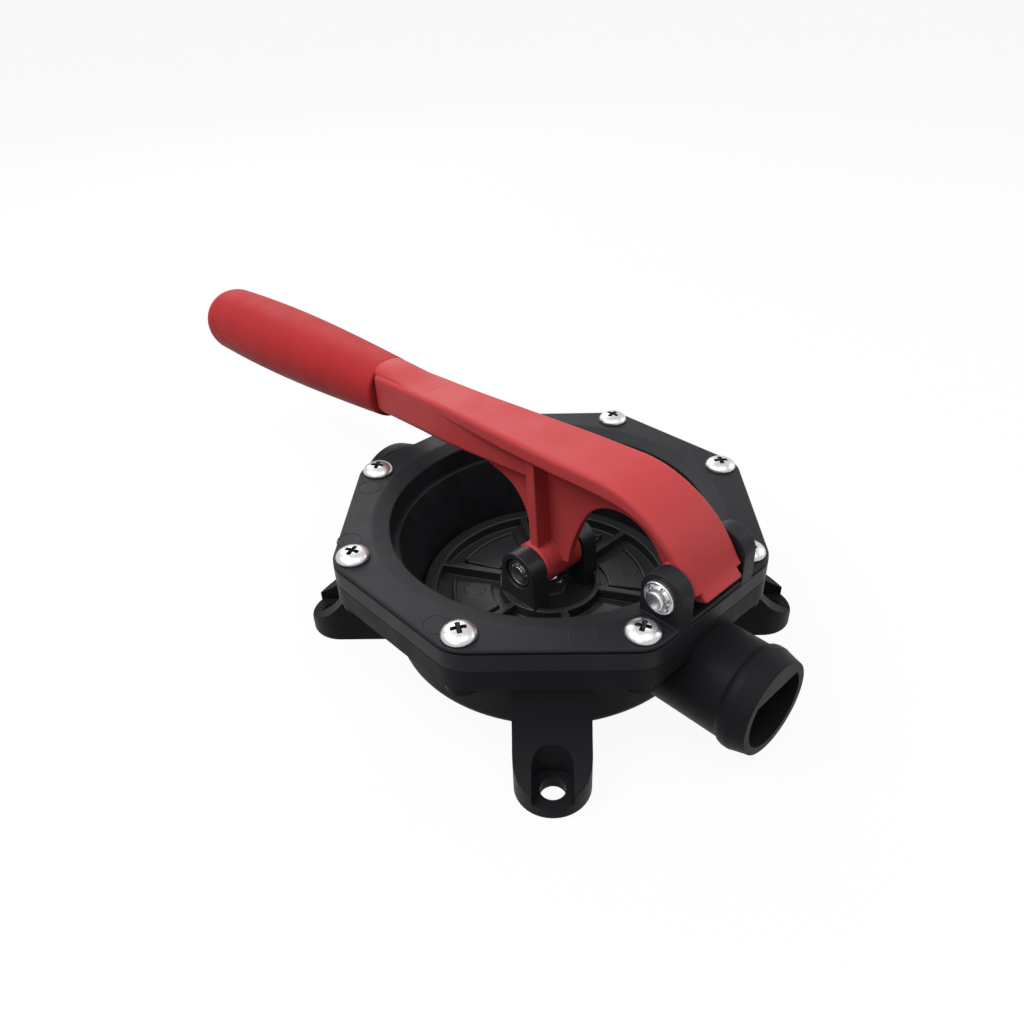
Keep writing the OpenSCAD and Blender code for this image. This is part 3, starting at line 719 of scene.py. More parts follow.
@dataclass
class Lever:
    """The moulded lever: slab with its nose, bar, fairing, web, cross rib, hub and boss."""

    neck_x: float = -85.7
    slope: float = 2.7
    plan: tuple[Flat, ...] = ((-85.7, 8.4), (-43.7, 8.9), (10.08, 11.31), (50.4, 11.71),
                              (57.3, 11.91), (90, 11.91))
    overlap: float = 0.3
    # Slab and crown
    crown: Flat = (32.3, 38.0)
    crown_r: float = 42.0
    crown_a: float = 92.7
    slab_a: float = 27.0
    slab_t: float = 5.8
    slab_thin: Flat = (4.2, 3.8)
    thin_x: Flat = (-50, -15)
    thin_turn: Flat = (60, 85)
    slab_edge: float = 1.7
    under_edge: Flat = (0.05, 0.9)
    under_edge_x: Flat = (-55, -40)
    # Nose
    nose_a: float = 22.7
    nose_half: float = 8.91
    nose_t: float = 2.9
    nose_edges: Flat = (0.7, 0.4)
    nose_flare: float = 1.4
    flare_lead: float = 4.0
    step_turns: Flat = (0.4, 0.5)
    step_half: float = 11.61
    step_edges: Flat = (1.2, 0.4)
    tip_turn: float = 0.5
    tip_round: float = 0.35
    # Bar and fairing
    bar_depth: float = 16.1
    bar_end_x: float = 0.9
    bar_plan: tuple[Flat, ...] = ((-85.7, 8.38), (-43.7, 8.88), (0.9, 5.28))
    bar_top_edge: float = 0.2
    bar_edge: Flat = (1.0, 3.2)
    bar_edge_x: Flat = (0, -60)
    cap_r: float = 11.75
    cap_x: Flat = (-87.2, -58.0)
    cap_in: Flat = (1.1, 1.7)
    cap_sink: float = 0.05
    cap_foot: float = 1.0
    # Web, rib and hub
    web_x: float = -46.0
    web_half: float = 1.3
    web_edge: float = 0.35
    web_foot: Flat = (7.6, 1.5)
    web_crown_turn: float = 42
    web_hub: Flat = (-8.2, -3)
    fillet: Flat = (-27.0, 37.2)
    fillet_r: float = 18.0
    fillet_turns: Flat = (76, 0)
    arch: Flat = (33.5, 45.8)
    arch_r: float = 17.8
    arch_turns: Flat = (144.5, 24)
    strut_r: float = 70.0
    strut_join: Flat = (146, -29.6)
    strut_turns: Flat = (171.4, 151.2)
    rib_half: float = 8.0
    rib_rise: tuple[Flat, ...] = ((-1.6, 0), (2.1, 0), (2.1, 8), (1.4, 27))
    rib_head: Flat = (0.6, -2.8)
    rib_fall: tuple[Flat, ...] = ((-2.8, 27), (-1.6, 8))
    pivot: Flat = (63.0, 57.5)
    hub_r: float = 7.2
    hub_half: float = 11.84
    hub_front: Flat = (4.2, -5.8)
    hub_crown_in: float = 0.6
    hub_crown_turns: Flat = (-0.3, 16)
    hub_turns: Flat = (122, 270)
    edge: float = 0.5
    # Boss and tongue
    boss: Flat = (0.0, 29.4)
    boss_r: float = 8.0
    boss_half: float = 8.8
    boss_edge: float = 0.6
    tongue: Flat = (5.2, 6.0)
    tongue_r: float = 0.6
    tongue_reach: Flat = (-108, 2)
    tongue_edge: float = 0.4

    def top(self, x: float) -> float:
        """Gives the height of the straight top line."""
        join = polar(self.crown_r, self.crown_a, self.crown)
        return join[1] + math.tan(math.radians(self.slope)) * (x - join[0])

    def half_at(self, plan: Sequence[Flat], x: float) -> float:
        """Gives the half width at a place along a plan.

        Args:
            plan: Places and their half widths.
            x: The place.

        Returns:
            The half width.
        """
        for (x0, w0), (x1, w1) in zip(plan, plan[1:]):
            if x <= x1:
                return blend(w0, w1, share_of(x, x0, x1))
        return plan[-1][1]

    def section(self, top: Flat, under: Flat, half: float, edges: Flat,
                shrink: float = 0.0) -> list[Point]:
        """Places one rounded section across the lever.

        Args:
            top: The middle of the section's top, in x and z.
            under: The middle of its underside.
            half: Its half width.
            edges: The radius of the top edges and of the lower ones.
            shrink: How far it is drawn in all round.

        Returns:
            The section's points.
        """
        down = Vector(under) - Vector(top)
        depth = down.length
        down.normalize()
        outline = panel((-half, 0), (half, depth), *edges)
        if shrink:
            outline = inset(outline, shrink)
        return [(top[0] + down.x * s, y, top[1] + down.y * s) for y, s in outline]

    def straight_depth(self, x: float) -> float:
        """Gives the thickness of the slab's straight part."""
        return blend(self.slab_thin[0], self.slab_t, share_of(x, *self.thin_x))

    def crown_depth(self, turn: float) -> float:
        """Gives the thickness of the slab over the crown."""
        return blend(self.slab_thin[1], self.slab_t, share_of(turn, *self.thin_turn))

    def crown_spot(self, turn: float) -> Flat:
        """Gives a point on the crown's outside, which flares towards the nose.

        Args:
            turn: The angle about the crown's centre.

        Returns:
            The point's x and z.
        """
        lead = self.slab_a + self.flare_lead
        share = max(0.0, (lead - turn) / (lead - self.nose_a))
        return polar(self.crown_r + self.nose_flare * share ** 2, turn, self.crown)

    def crown_section(self, turn: float, depth: float, half: float, edges: Flat,
                      shrink: float = 0.0) -> list[Point]:
        """Places one section square to the crown.

        Args:
            turn: The angle about the crown's centre.
            depth: How far the underside lies inside the crown's radius.
            half: The half width.
            edges: The radius of the top edges and of the lower ones.
            shrink: How far the section is drawn in all round.

        Returns:
            The section's points.
        """
        under = polar(self.crown_r - depth, turn, self.crown)
        return self.section(self.crown_spot(turn), under, half, edges, shrink)

    def slab(self, shell: Shell) -> None:
        """Sweeps the slab from the neck over the crown and on into the narrow nose.

        Args:
            shell: Takes the skin.
        """
        join_x = polar(self.crown_r, self.crown_a, self.crown)[0]
        loops: list[list[Point]] = []
        for share in shares(24)[:-1]:
            x = blend(self.neck_x, join_x, share)
            lower = blend(*self.under_edge, share_of(x, *self.under_edge_x))
            loops.append(self.section((x, self.top(x)), (x, self.top(x) - self.straight_depth(x)),
                                      self.half_at(self.plan, x), (self.slab_edge, lower)))
        for share in shares(32):
            turn = blend(self.crown_a, self.slab_a, share)
            half = self.half_at(self.plan, self.crown_spot(turn)[0])
            loops.append(self.crown_section(turn, self.crown_depth(turn), half,
                                            (self.slab_edge, self.under_edge[1])))
        loops.append(self.crown_section(self.slab_a - self.step_turns[0], self.slab_thin[1],
                                        self.step_half, self.step_edges))
        for share in shares(8):
            turn = blend(self.slab_a - self.step_turns[1], self.nose_a, share)
            loops.append(self.crown_section(turn, self.nose_t, self.nose_half, self.nose_edges))
        loops.append(self.crown_section(self.nose_a - self.tip_turn, self.nose_t, self.nose_half,
                                        self.nose_edges, self.tip_round))
        shell.skin(loops)

    def bar(self, shell: Shell) -> None:
        """Sweeps the tapering bar under the slab.

        Args:
            shell: Takes the skin.
        """
        loops: list[list[Point]] = []
        for share in shares(24):
            x = blend(self.neck_x, self.bar_end_x, share)
            high = self.top(x) - self.straight_depth(x) + self.overlap
            lower = blend(*self.bar_edge, share_of(x, *self.bar_edge_x))
            loops.append(self.section((x, high), (x, self.top(x) - self.bar_depth),
                                      self.half_at(self.bar_plan, x), (self.bar_top_edge, lower)))
        shell.skin(loops)

    def fairing(self, shell: Shell) -> None:
        """Fairs the grip's rounded top into the flat top of the slab.

        Args:
            shell: Takes the skin.
        """
        axis = self.bar_depth / 2
        chord = math.sqrt(self.cap_r ** 2 - axis ** 2) - self.overlap
        loops: list[list[Point]] = []
        for share in shares(24):
            x = blend(*self.cap_x, share)
            half = self.half_at(self.plan, x) - blend(*self.cap_in, share)
            half = min(half, blend(chord, half, share))
            base = self.top(x) - self.cap_sink
            rise = (self.cap_r - axis) * (1 - share) ** 2 * (1 + 2 * share)
            loop = [(x, half * math.cos(math.pi * s), base + rise * math.sin(math.pi * s))
                    for s in shares(20)]
            foot = self.top(x) - self.cap_foot
            loops.append(loop + [(x, -half, foot), (x, half, foot)])
        shell.skin(loops)

    def web(self, shell: Shell) -> None:
        """Raises the thin web with its fillet and its arch.

        Args:
            shell: Takes the skin.
        """
        strut = polar(self.arch_r, self.strut_join[0], self.arch)
        strut = polar(self.strut_r, self.strut_join[1], strut)
        mid, high = self.slab_t / 2, self.top(self.web_x)
        reach, foot = self.web_foot[0], self.boss[1] + self.web_foot[1]
        outline = [(self.web_x, high - mid), (self.web_x, high - self.bar_depth)]
        outline += arc(self.fillet, self.fillet_r, *self.fillet_turns, 14)
        outline += [(-reach, foot), (reach, foot)]
        outline += arc(strut, self.strut_r, *self.strut_turns, 8)
        outline += arc(self.arch, self.arch_r, *self.arch_turns, 20)
        outline += [(self.pivot[0] + self.web_hub[0], self.pivot[1] + self.web_hub[1]), self.pivot]
        outline += arc(self.crown, self.crown_r - mid, self.web_crown_turn, self.crown_a, 10)
        shell.prism(outline, -self.web_half, self.web_half, self.web_edge, ACROSS)

    def rib(self, shell: Shell) -> None:
        """Raises the cross rib between slab and boss.

        Args:
            shell: Takes the skin.
        """
        foot, head = self.boss[1], self.top(0) - self.slab_t / 2
        outline = [(x, foot + h) for x, h in self.rib_rise]
        outline += [(x, head) for x in self.rib_head]
        outline += [(x, foot + h) for x, h in self.rib_fall]
        shell.prism(outline, -self.rib_half, self.rib_half, self.edge, ACROSS)

    def hub(self, shell: Shell) -> None:
        """Raises the broad hub whose front follows the crown.

        Args:
            shell: Takes the skin.
        """
        outline = [(self.pivot[0] + self.hub_front[0], self.pivot[1] + self.hub_front[1])]
        outline += arc(self.crown, self.crown_r - self.hub_crown_in,
                       *(self.slab_a + turn for turn in self.hub_crown_turns), 8)
        outline += arc(self.pivot, self.hub_r, *self.hub_turns, 18)
        shell.prism(outline, -self.hub_half, self.hub_half, self.edge, ACROSS)

    def ends(self, shell: Shell) -> None:
        """Adds the boss for the plate's pin and the tongue inside the grip.

        Args:
            shell: Takes the skins.
        """
        boss = spindle(self.boss_r, self.boss_half, ((0, self.boss_edge), (self.boss_edge, 0)))
        shell.lathe(boss, moved(self.boss[0], 0, self.boss[1]) @ ACROSS)
        neck = moved(self.neck_x, 0, self.top(self.neck_x) - self.bar_depth / 2)
        wide, tall = self.tongue
        outline = panel((-wide, -tall), (wide, tall), self.tongue_r, self.tongue_r, steps=2)
        shell.prism(outline, *self.tongue_reach, self.tongue_edge,
                    neck @ turned(-self.slope, "Y") @ ALONG)

    def build(self, finishes: Finishes) -> None:
        """Builds the lever as one piece.

        Args:
            finishes: Where its finish comes from.
        """
        shell = Shell()
        for add in (self.slab, self.bar, self.fairing, self.web, self.rib, self.hub, self.ends):
            add(shell)
        shell.piece("lever", Body.HANDLE, Slot.RED, finishes, ["handle_lever"])


@dataclass
class Grip:
    """The swelling sleeve with its lip, round end and moulding mark."""

    mouth: Point = (-85.7, 0.0, 66.43)
    lip_x: float = -0.4
    slope: float = 2.7
    length: float = 138.4
    radius: float = 11.8
    swell: float = 3.5
    swell_end: float = 0.65
    end_share: float = 0.885
    lip: tuple[Flat, ...] = ((1.9, 0.6), (1.6, 0.1), (1.1, 0), (0.5, 0.1), (0.1, 0.5), (0, 1.1))
    mark: Flat = (113.0, -90.0)
    mark_sink: float = 0.12
    mark_ring: tuple[Flat, ...] = ((1.9, -0.4), (2.15, 0.1), (2.3, 0.16), (2.45, 0.1),
                                   (2.6, -0.4))

    def radius_at(self, along: float) -> float:
        """Gives the grip's radius at a distance from its lip."""
        quarter = math.pi / 2 * along / (self.swell_end * self.length)
        return self.radius + self.swell * math.sin(quarter)

    def build(self, finishes: Finishes) -> None:
        """Builds the grip as one turned piece.

        Args:
            finishes: Where its finish comes from.
        """
        end_r = self.radius_at(self.end_share * self.length)
        body = self.length - end_r
        profile = [(0, self.lip[0][1])] + [(self.radius - a, h) for a, h in self.lip]
        profile += [(self.radius_at(body * share), body * share) for share in shares(40)[1:]]
        profile += [(r, body + h) for r, h in arc((0, 0), end_r, 0, 90, 16)[1:]]
        place = moved(*self.mouth) @ turned(-self.slope, "Y") @ moved(self.lip_x, 0, 0)
        place = place @ turned(-90, "Y")
        shell = Shell()
        shell.lathe(profile, place, steps=128)
        along, turn = self.mark
        out = moved(self.radius_at(along) - self.mark_sink, 0, along)
        shell.lathe(self.mark_ring, place @ turned(turn) @ out @ turned(90, "Y"), steps=40,
                    closed=True)
        shell.piece("grip", Body.HANDLE, Slot.GRIP, finishes, ["handle_grip"])


# ---- Clamp ring and its screws -----------------------------------------------------------


@dataclass
class ClampRing:
    """The octagonal ring with its stepped rim, bevelled opening and fulcrum ears.

    The rim is given as how far it is drawn in and how far it lies above the underside or
    below the top, the opening as its radius and how far it lies below the top.
    """

    sides: int = 8
    apothem: float = 70.5
    corner: float = 12.0
    low: float = 41.0
    high: float = 49.0
    under_rim: tuple[Flat, ...] = ((0.35, 0), (0.08, 0.1), (0, 0.4))
    top_rim: tuple[Flat, ...] = ((0, 1.9), (0.1, 1.75), (1.0, 1.7), (1.0, 1.0), (0.22, 0.92),
                                 (0.12, 0.8), (0.12, 0.6), (0.25, 0.28), (0.5, 0.08), (0.85, 0))
    opening: tuple[Flat, ...] = ((61.6, 0), (61.1, 0.03), (60.5, 0.13), (55.6, 1.13),
                                 (55.15, 1.33), (55.0, 1.75), (55.0, 7.6), (55.4, 8.0))
    pivot: Flat = (63.0, 57.5)
    ear_r: float = 7.4
    ear_root: float = 3.0
    ear_in: float = 12.31
    ear_out: float = 18.61
    ear_edge: float = 0.5
    marks: tuple[Flat, ...] = ((18.0, -65.3), (52.4, -39.4), (-34.9, -59.1), (16.0, 65.2),
                               (-56.9, -35.1))
    mark_ring: tuple[Flat, ...] = ((3.84, -0.2), (3.93, 0.05), (4.07, 0.05), (4.16, -0.2))

    def turns(self) -> list[float]:
        """Gives the angles of the loops' points, closer together at the corners.

        Returns:
            Angles in degrees, the same for the octagon and the circles.
        """
        pitch = 360 / self.sides
        side_share = (self.apothem - self.corner) / self.apothem
        flat = math.degrees(math.atan(side_share * math.tan(math.pi / self.sides)))
        result: list[float] = []
        for side in range(self.sides):
            start, end = pitch * side - flat, pitch * side + flat
            result += [blend(start, end, share) for share in shares(16)[:-1]]
            result += [blend(end, start + pitch, share) for share in shares(10)[:-1]]
        return result

    def rim(self, depth: float, height: float) -> list[Point]:
        """Gives the octagon at a height.

        Args:
            depth: How far it is drawn in.
            height: The height.

        Returns:
            The loop's points.
        """
        pitch, half = 360 / self.sides, math.pi / self.sides
        apothem, corner = self.apothem - depth, self.corner - depth
        centre = (apothem - corner) / math.cos(half)
        points: list[Point] = []
        for turn in self.turns():
            lean = math.radians(turn - pitch * round(turn / pitch))
            if abs(math.tan(lean)) * apothem <= (apothem - corner) * math.tan(half):
                reach = apothem / math.cos(lean)
            else:
                off = half - abs(lean)
                reach = (centre * math.cos(off)
                         + math.sqrt(corner ** 2 - (centre * math.sin(off)) ** 2))
            points.append((*polar(reach, turn), height))
        return points

    def circle(self, radius: float, height: float) -> list[Point]:
        """Gives a circle at a height, point for point with the octagon."""
        return [(*polar(radius, turn), height) for turn in self.turns()]

    def ears(self, shell: Shell) -> None:
        """Raises the two ears that hold the pivot pin.

        Args:
            shell: Takes the skins.
        """
        x, root = self.pivot[0], self.high - self.ear_root
        outline = [(x - self.ear_r, root), (x + self.ear_r, root)]
        outline += arc(self.pivot, self.ear_r, 0, 180, 24)
        for side in BOTH_SIDES:
            shell.prism(outline, self.ear_in, self.ear_out, self.ear_edge, side)

    def build(self, finishes: Finishes) -> None:
        """Builds the ring as one piece.

        Args:
            finishes: Where its finish comes from.
        """
        shell = Shell()
        loops = [self.rim(depth, self.low + h) for depth, h in self.under_rim]
        loops += [self.rim(depth, self.high - h) for depth, h in self.top_rim]
        loops += [self.circle(radius, self.high - h) for radius, h in self.opening]
        shell.skin(loops, closed=True)
        self.ears(shell)
        for x, y in self.marks:
            shell.lathe(self.mark_ring, moved(x, y, self.high), steps=48, closed=True)
        shell.piece("clamp_frame", Body.PUMP, Slot.BLACK, finishes, ["clamp_ring"])


@dataclass
class CrossScrews:
    """Eight pan head screws with a tapering cross recess."""

    circle_r: float = 68.75
    seat_z: float = 49.0
    head_r: float = 5.55
    head_h: float = 3.0
    rim_h: float = 0.4
    roundness: float = 2.5
    head_foot: tuple[Flat, ...] = ((0.05, 0.2), (0.3, 0))
    shank_r: float = 3.0
    length: float = 18.5
    tip: float = 0.8
    axis_r: float = 0.001
    arm_half: float = 0.72
    arm_wall: float = 0.08
    arm_turns: Flat = (43.0, 44.0)
    depth: float = 1.7
    depth_slope: float = 0.42
    floor_radii: Flat = (0.001, 0.66)
    arm_radii: tuple[float, ...] = (0.84, 1.2, 1.7, 2.3)
    crest_radii: tuple[float, ...] = (2.5, 2.9, 3.4, 3.9, 4.35, 4.7, 5.0, 5.22, 5.38, 5.5, 5.55)
    quarter_points: int = 9
    arm_faces: tuple[int, ...] = (0, 1, 7, 8)
    turns: tuple[float, ...] = (20, 50, 5, 70, 35, 22, 60, 25)

    def dome(self, radius: float) -> float:
        """Gives the head's height at a radius."""
        drop = max(0.0, 1 - (radius / self.head_r) ** self.roundness)
        return blend(self.rim_h, self.head_h, math.sqrt(drop))

    def arm_turn(self, half: float, radius: float, most: float) -> float:
        """Gives the angle at which an arm's side meets a radius, up to the most."""
        return min(most, math.degrees(math.asin(min(1.0, half / radius))))

    def head_loop(self, radius: float, cut: bool, everywhere: bool = False) -> list[Point]:
        """Gives one loop over the head.

        Args:
            radius: The loop's radius.
            cut: Whether the cross reaches it.
            everywhere: Whether the recess takes all of it.

        Returns:
            The loop's points.
        """
        inner = self.arm_turn(self.arm_half - self.arm_wall, radius, self.arm_turns[0])
        outer = self.arm_turn(self.arm_half + self.arm_wall, radius, self.arm_turns[1])
        floor = self.head_h - self.depth + self.depth_slope * radius
        crest = self.dome(radius)
        quarter = [(0.0, True), (inner, True)]
        quarter += [(blend(outer, 90 - outer, share), False)
                    for share in shares(self.quarter_points - 4)]
        quarter.append((90 - inner, True))
        points: list[Point] = []
        for side in range(4):
            for turn, low in quarter:
                height = floor if everywhere or (cut and low) else crest
                points.append((*polar(radius, 90 * side + turn), height))
        return points

    def one(self, shell: Shell, place: Matrix) -> None:
        """Adds one screw.

        Args:
            shell: Takes the skin.
            place: Where the screw's seat is.
        """
        loops = [self.head_loop(r, True, True) for r in self.floor_radii]
        loops += [self.head_loop(r, True) for r in self.arm_radii]
        recess, start, count = len(loops), len(shell.faces), len(loops[0])
        loops += [self.head_loop(r, False) for r in self.crest_radii]
        shank, end = self.shank_r, -self.length
        rest = [(self.head_r - a, h) for a, h in self.head_foot]
        rest += [(shank, 0), (shank, end + self.tip), (shank - self.tip, end), (self.axis_r, end)]
        turns = [math.atan2(y, x) for x, y, _ in loops[-1]]
        loops += [[(r * math.cos(t), r * math.sin(t), h) for t in turns] for r, h in rest]
        shell.skin(loops, place)
        # The recess faces take the near black steel: painted shade in the cross.
        for row in range(recess):
            shell.painted_shade_faces.update(start + row * count + j for j in range(count)
                              if row == 0 or j % self.quarter_points in self.arm_faces)

    def build(self, finishes: Finishes) -> None:
        """Builds the eight clamp screws as one piece.

        Args:
            finishes: Where their finish comes from.
        """
        shell = Shell()
        for i, turn in enumerate(self.turns):
            spot = polar(self.circle_r, 45 * (i + 0.5))
            self.one(shell, moved(*spot, self.seat_z) @ turned(turn))
        shell.piece("cross_screws", Body.PUMP, Slot.SCREW, finishes, ["clamp_screws"], crease=50)


# ---- Pins and push-on caps ---------------------------------------------------------------


@dataclass(frozen=True)
class StarCap:
    """A push-on cap: a skirt and teeth that rise to grip the pin.

    The skirt is given as how far it lies inside its radius and below its rim.
    """

    skirt_r: float
    pin_r: float
    rise: float
    rim: float
    teeth: int = 6
    gap_share: float = 0.14
    tooth_share: float = 0.175
    skirt: tuple[Flat, ...] = ((0, 0.25), (0.2, 0), (0.6, 0), (0.75, 0.15))
    skirt_t: float = 0.85
    seat_share: float = 0.4
    slot_h: float = 0.25
    collar_share: float = 0.45
    bend_share: float = 0.75
    lip: float = 0.1
    lip_slot_h: float = 0.2

    def levels(self) -> list[Point]:
        """Gives the cap's section.

        Returns:
            Each point's radius and its height on a tooth and in a slot.
        """
        seat = self.seat_share * self.rim
        collar = blend(self.pin_r, self.skirt_r, self.collar_share)
        middle = blend(self.pin_r, collar, 0.5)
        inner = self.skirt_r - self.skirt_t
        flat = [(self.pin_r, 0), (self.skirt_r, 0)]
        flat += [(self.skirt_r - a, self.rim - h) for a, h in self.skirt] + [(inner, seat)]
        teeth = [(collar, seat, self.slot_h), (middle, self.bend_share * self.rise, self.slot_h),
                 (self.pin_r + self.lip, self.rise, self.slot_h),
                 (self.pin_r, self.rise - self.lip, self.lip_slot_h)]
        return [(r, h, h) for r, h in flat] + teeth

    def add(self, shell: Shell, place: Matrix) -> None:
        """Adds the cap, its flat side at local z = 0.

        Args:
            shell: Takes the skin.
            place: Where the cap goes.
        """
        pitch = 360 / self.teeth
        gap, edge = self.gap_share * pitch, self.tooth_share * pitch
        spots = [(-gap, True), (gap, True)]
        spots += [(blend(edge, pitch - edge, share), False) for share in shares(4)]
        loops = [[(*polar(r, pitch * i + turn), slot if low else tooth)
                  for i in range(self.teeth) for turn, low in spots]
                 for r, tooth, slot in self.levels()]
        shell.skin(loops, place, closed=True)


@dataclass
class FulcrumSet:
    """The pivot pin of the lever with a cap on each end."""

    pivot: Point = (63.0, 0.0, 57.5)
    radius: float = 3.1
    half: float = 21.81
    end: tuple[Flat, ...] = ((0, 0.55), (0.1, 0.22), (0.35, 0.05), (0.7, 0))
    ear_out: float = 18.61
    cap: StarCap = StarCap(5.4, 3.12, 1.3, 1.3)
    cap_turn: float = 12

    def build(self, finishes: Finishes) -> None:
        """Builds the pin and its caps.

        Args:
            finishes: Where their finishes come from.
        """
        place = moved(*self.pivot)
        pin, caps = Shell(), Shell()
        pin.lathe(spindle(self.radius, self.half, self.end), place @ ACROSS, steps=64)
        pin.piece("pivot_pin", Body.PUMP, Slot.PIN, finishes, ["fulcrum_pin"])
        for side in BOTH_SIDES:
            self.cap.add(caps, place @ side @ moved(0, 0, self.ear_out) @ turned(self.cap_turn))
        caps.piece("pivot_caps", Body.PUMP, Slot.SCREW, finishes, ["fulcrum_caps"])


@dataclass
class PlatePinSet:
    """The pin through the plate's ears and its two toothed clips."""

    place: Point = (0.0, 0.0, 29.4)
    radius: float = 3.0
    half: float = 16.2
    end: tuple[Flat, ...] = ((0, 0.5), (0.15, 0.15), (0.5, 0))
    clip_y: float = 14.7
    clip: StarCap = StarCap(5.1, 3.02, 0.98, 0.8)
    clip_turn: float = 20

    def build(self, finishes: Finishes) -> None:
        """Builds the pin and its clips.

        Args:
            finishes: Where their finishes come from.
        """
        place = moved(*self.place)
        pin, clips = Shell(), Shell()
        pin.lathe(spindle(self.radius, self.half, self.end), place @ ACROSS, steps=64)
        pin.piece("plate_pin", Body.PLATE, Slot.PIN, finishes, ["clevis_pin"])
        for side in BOTH_SIDES:
            self.clip.add(clips, place @ side @ moved(0, 0, self.clip_y) @ turned(self.clip_turn))
        clips.piece("plate_clips", Body.PLATE, Slot.SCREW, finishes, ["clevis_clips"],
                    tone=Tone.NUT)


# ---- Diaphragm and plate -----------------------------------------------------------------


@dataclass
class RubberCup:
    """The rubber diaphragm: flat under the plate, a steep wall, a shoulder and a bead."""

    plate_z: float = 11.5
    under_z: float = 9.3
    bore: float = 3.25
    cup: Flat = (45.65, 12.7)
    bend: float = 1.2
    thick: float = 2.2
    lean: float = 8.0
    shoulder_turn: float = 170.0
    shoulder_r: float = 52.3
    shoulder_bend: float = 1.0
    shoulder_flat: float = 1.2
    web_z: float = 38.6
    web_bend: float = 1.0
    top_z: float = 41.0
    bead: Flat = (57.2, 62.3)
    bead_z: float = 37.0
    anchor_z: float = 0.041
    keep: float = 0.267

    def section(self) -> list[Flat]:
        """Gives the rubber's closed section.

        Returns:
            Radii and heights, outside first.
        """
        web = (self.shoulder_r + self.thick + self.web_bend, self.web_z - self.web_bend)
        top = (self.shoulder_r + self.shoulder_bend, self.top_z - self.shoulder_bend)
        inner, outer = self.bead
        section = [(self.bore, self.under_z)]
        section += arc(self.cup, self.bend + self.thick, -90, -self.lean, 14)
        section += arc(web, self.web_bend, self.shoulder_turn, 90, 5)
        section += [(inner, self.web_z), (inner, self.bead_z), (outer, self.bead_z),
                    (outer, self.top_z), (top[0] + self.shoulder_flat, self.top_z)]
        section += arc(top, self.shoulder_bend, 90, self.shoulder_turn, 10)
        section += arc(self.cup, self.bend, -self.lean, -90, 8)
        return section + [(self.bore, self.plate_z)]

    def build(self, finishes: Finishes) -> None:
        """Builds the rubber as one piece with a mesh of its own.

        Args:
            finishes: Where its finish comes from.
        """
        shell = Shell()
        shell.lathe(self.section(), steps=144, closed=True)
        rubber = shell.piece("rubber_cup", Body.PUMP, Slot.RUBBER, finishes, ["diaphragm"],
                             crease=60)
        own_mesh(rubber)


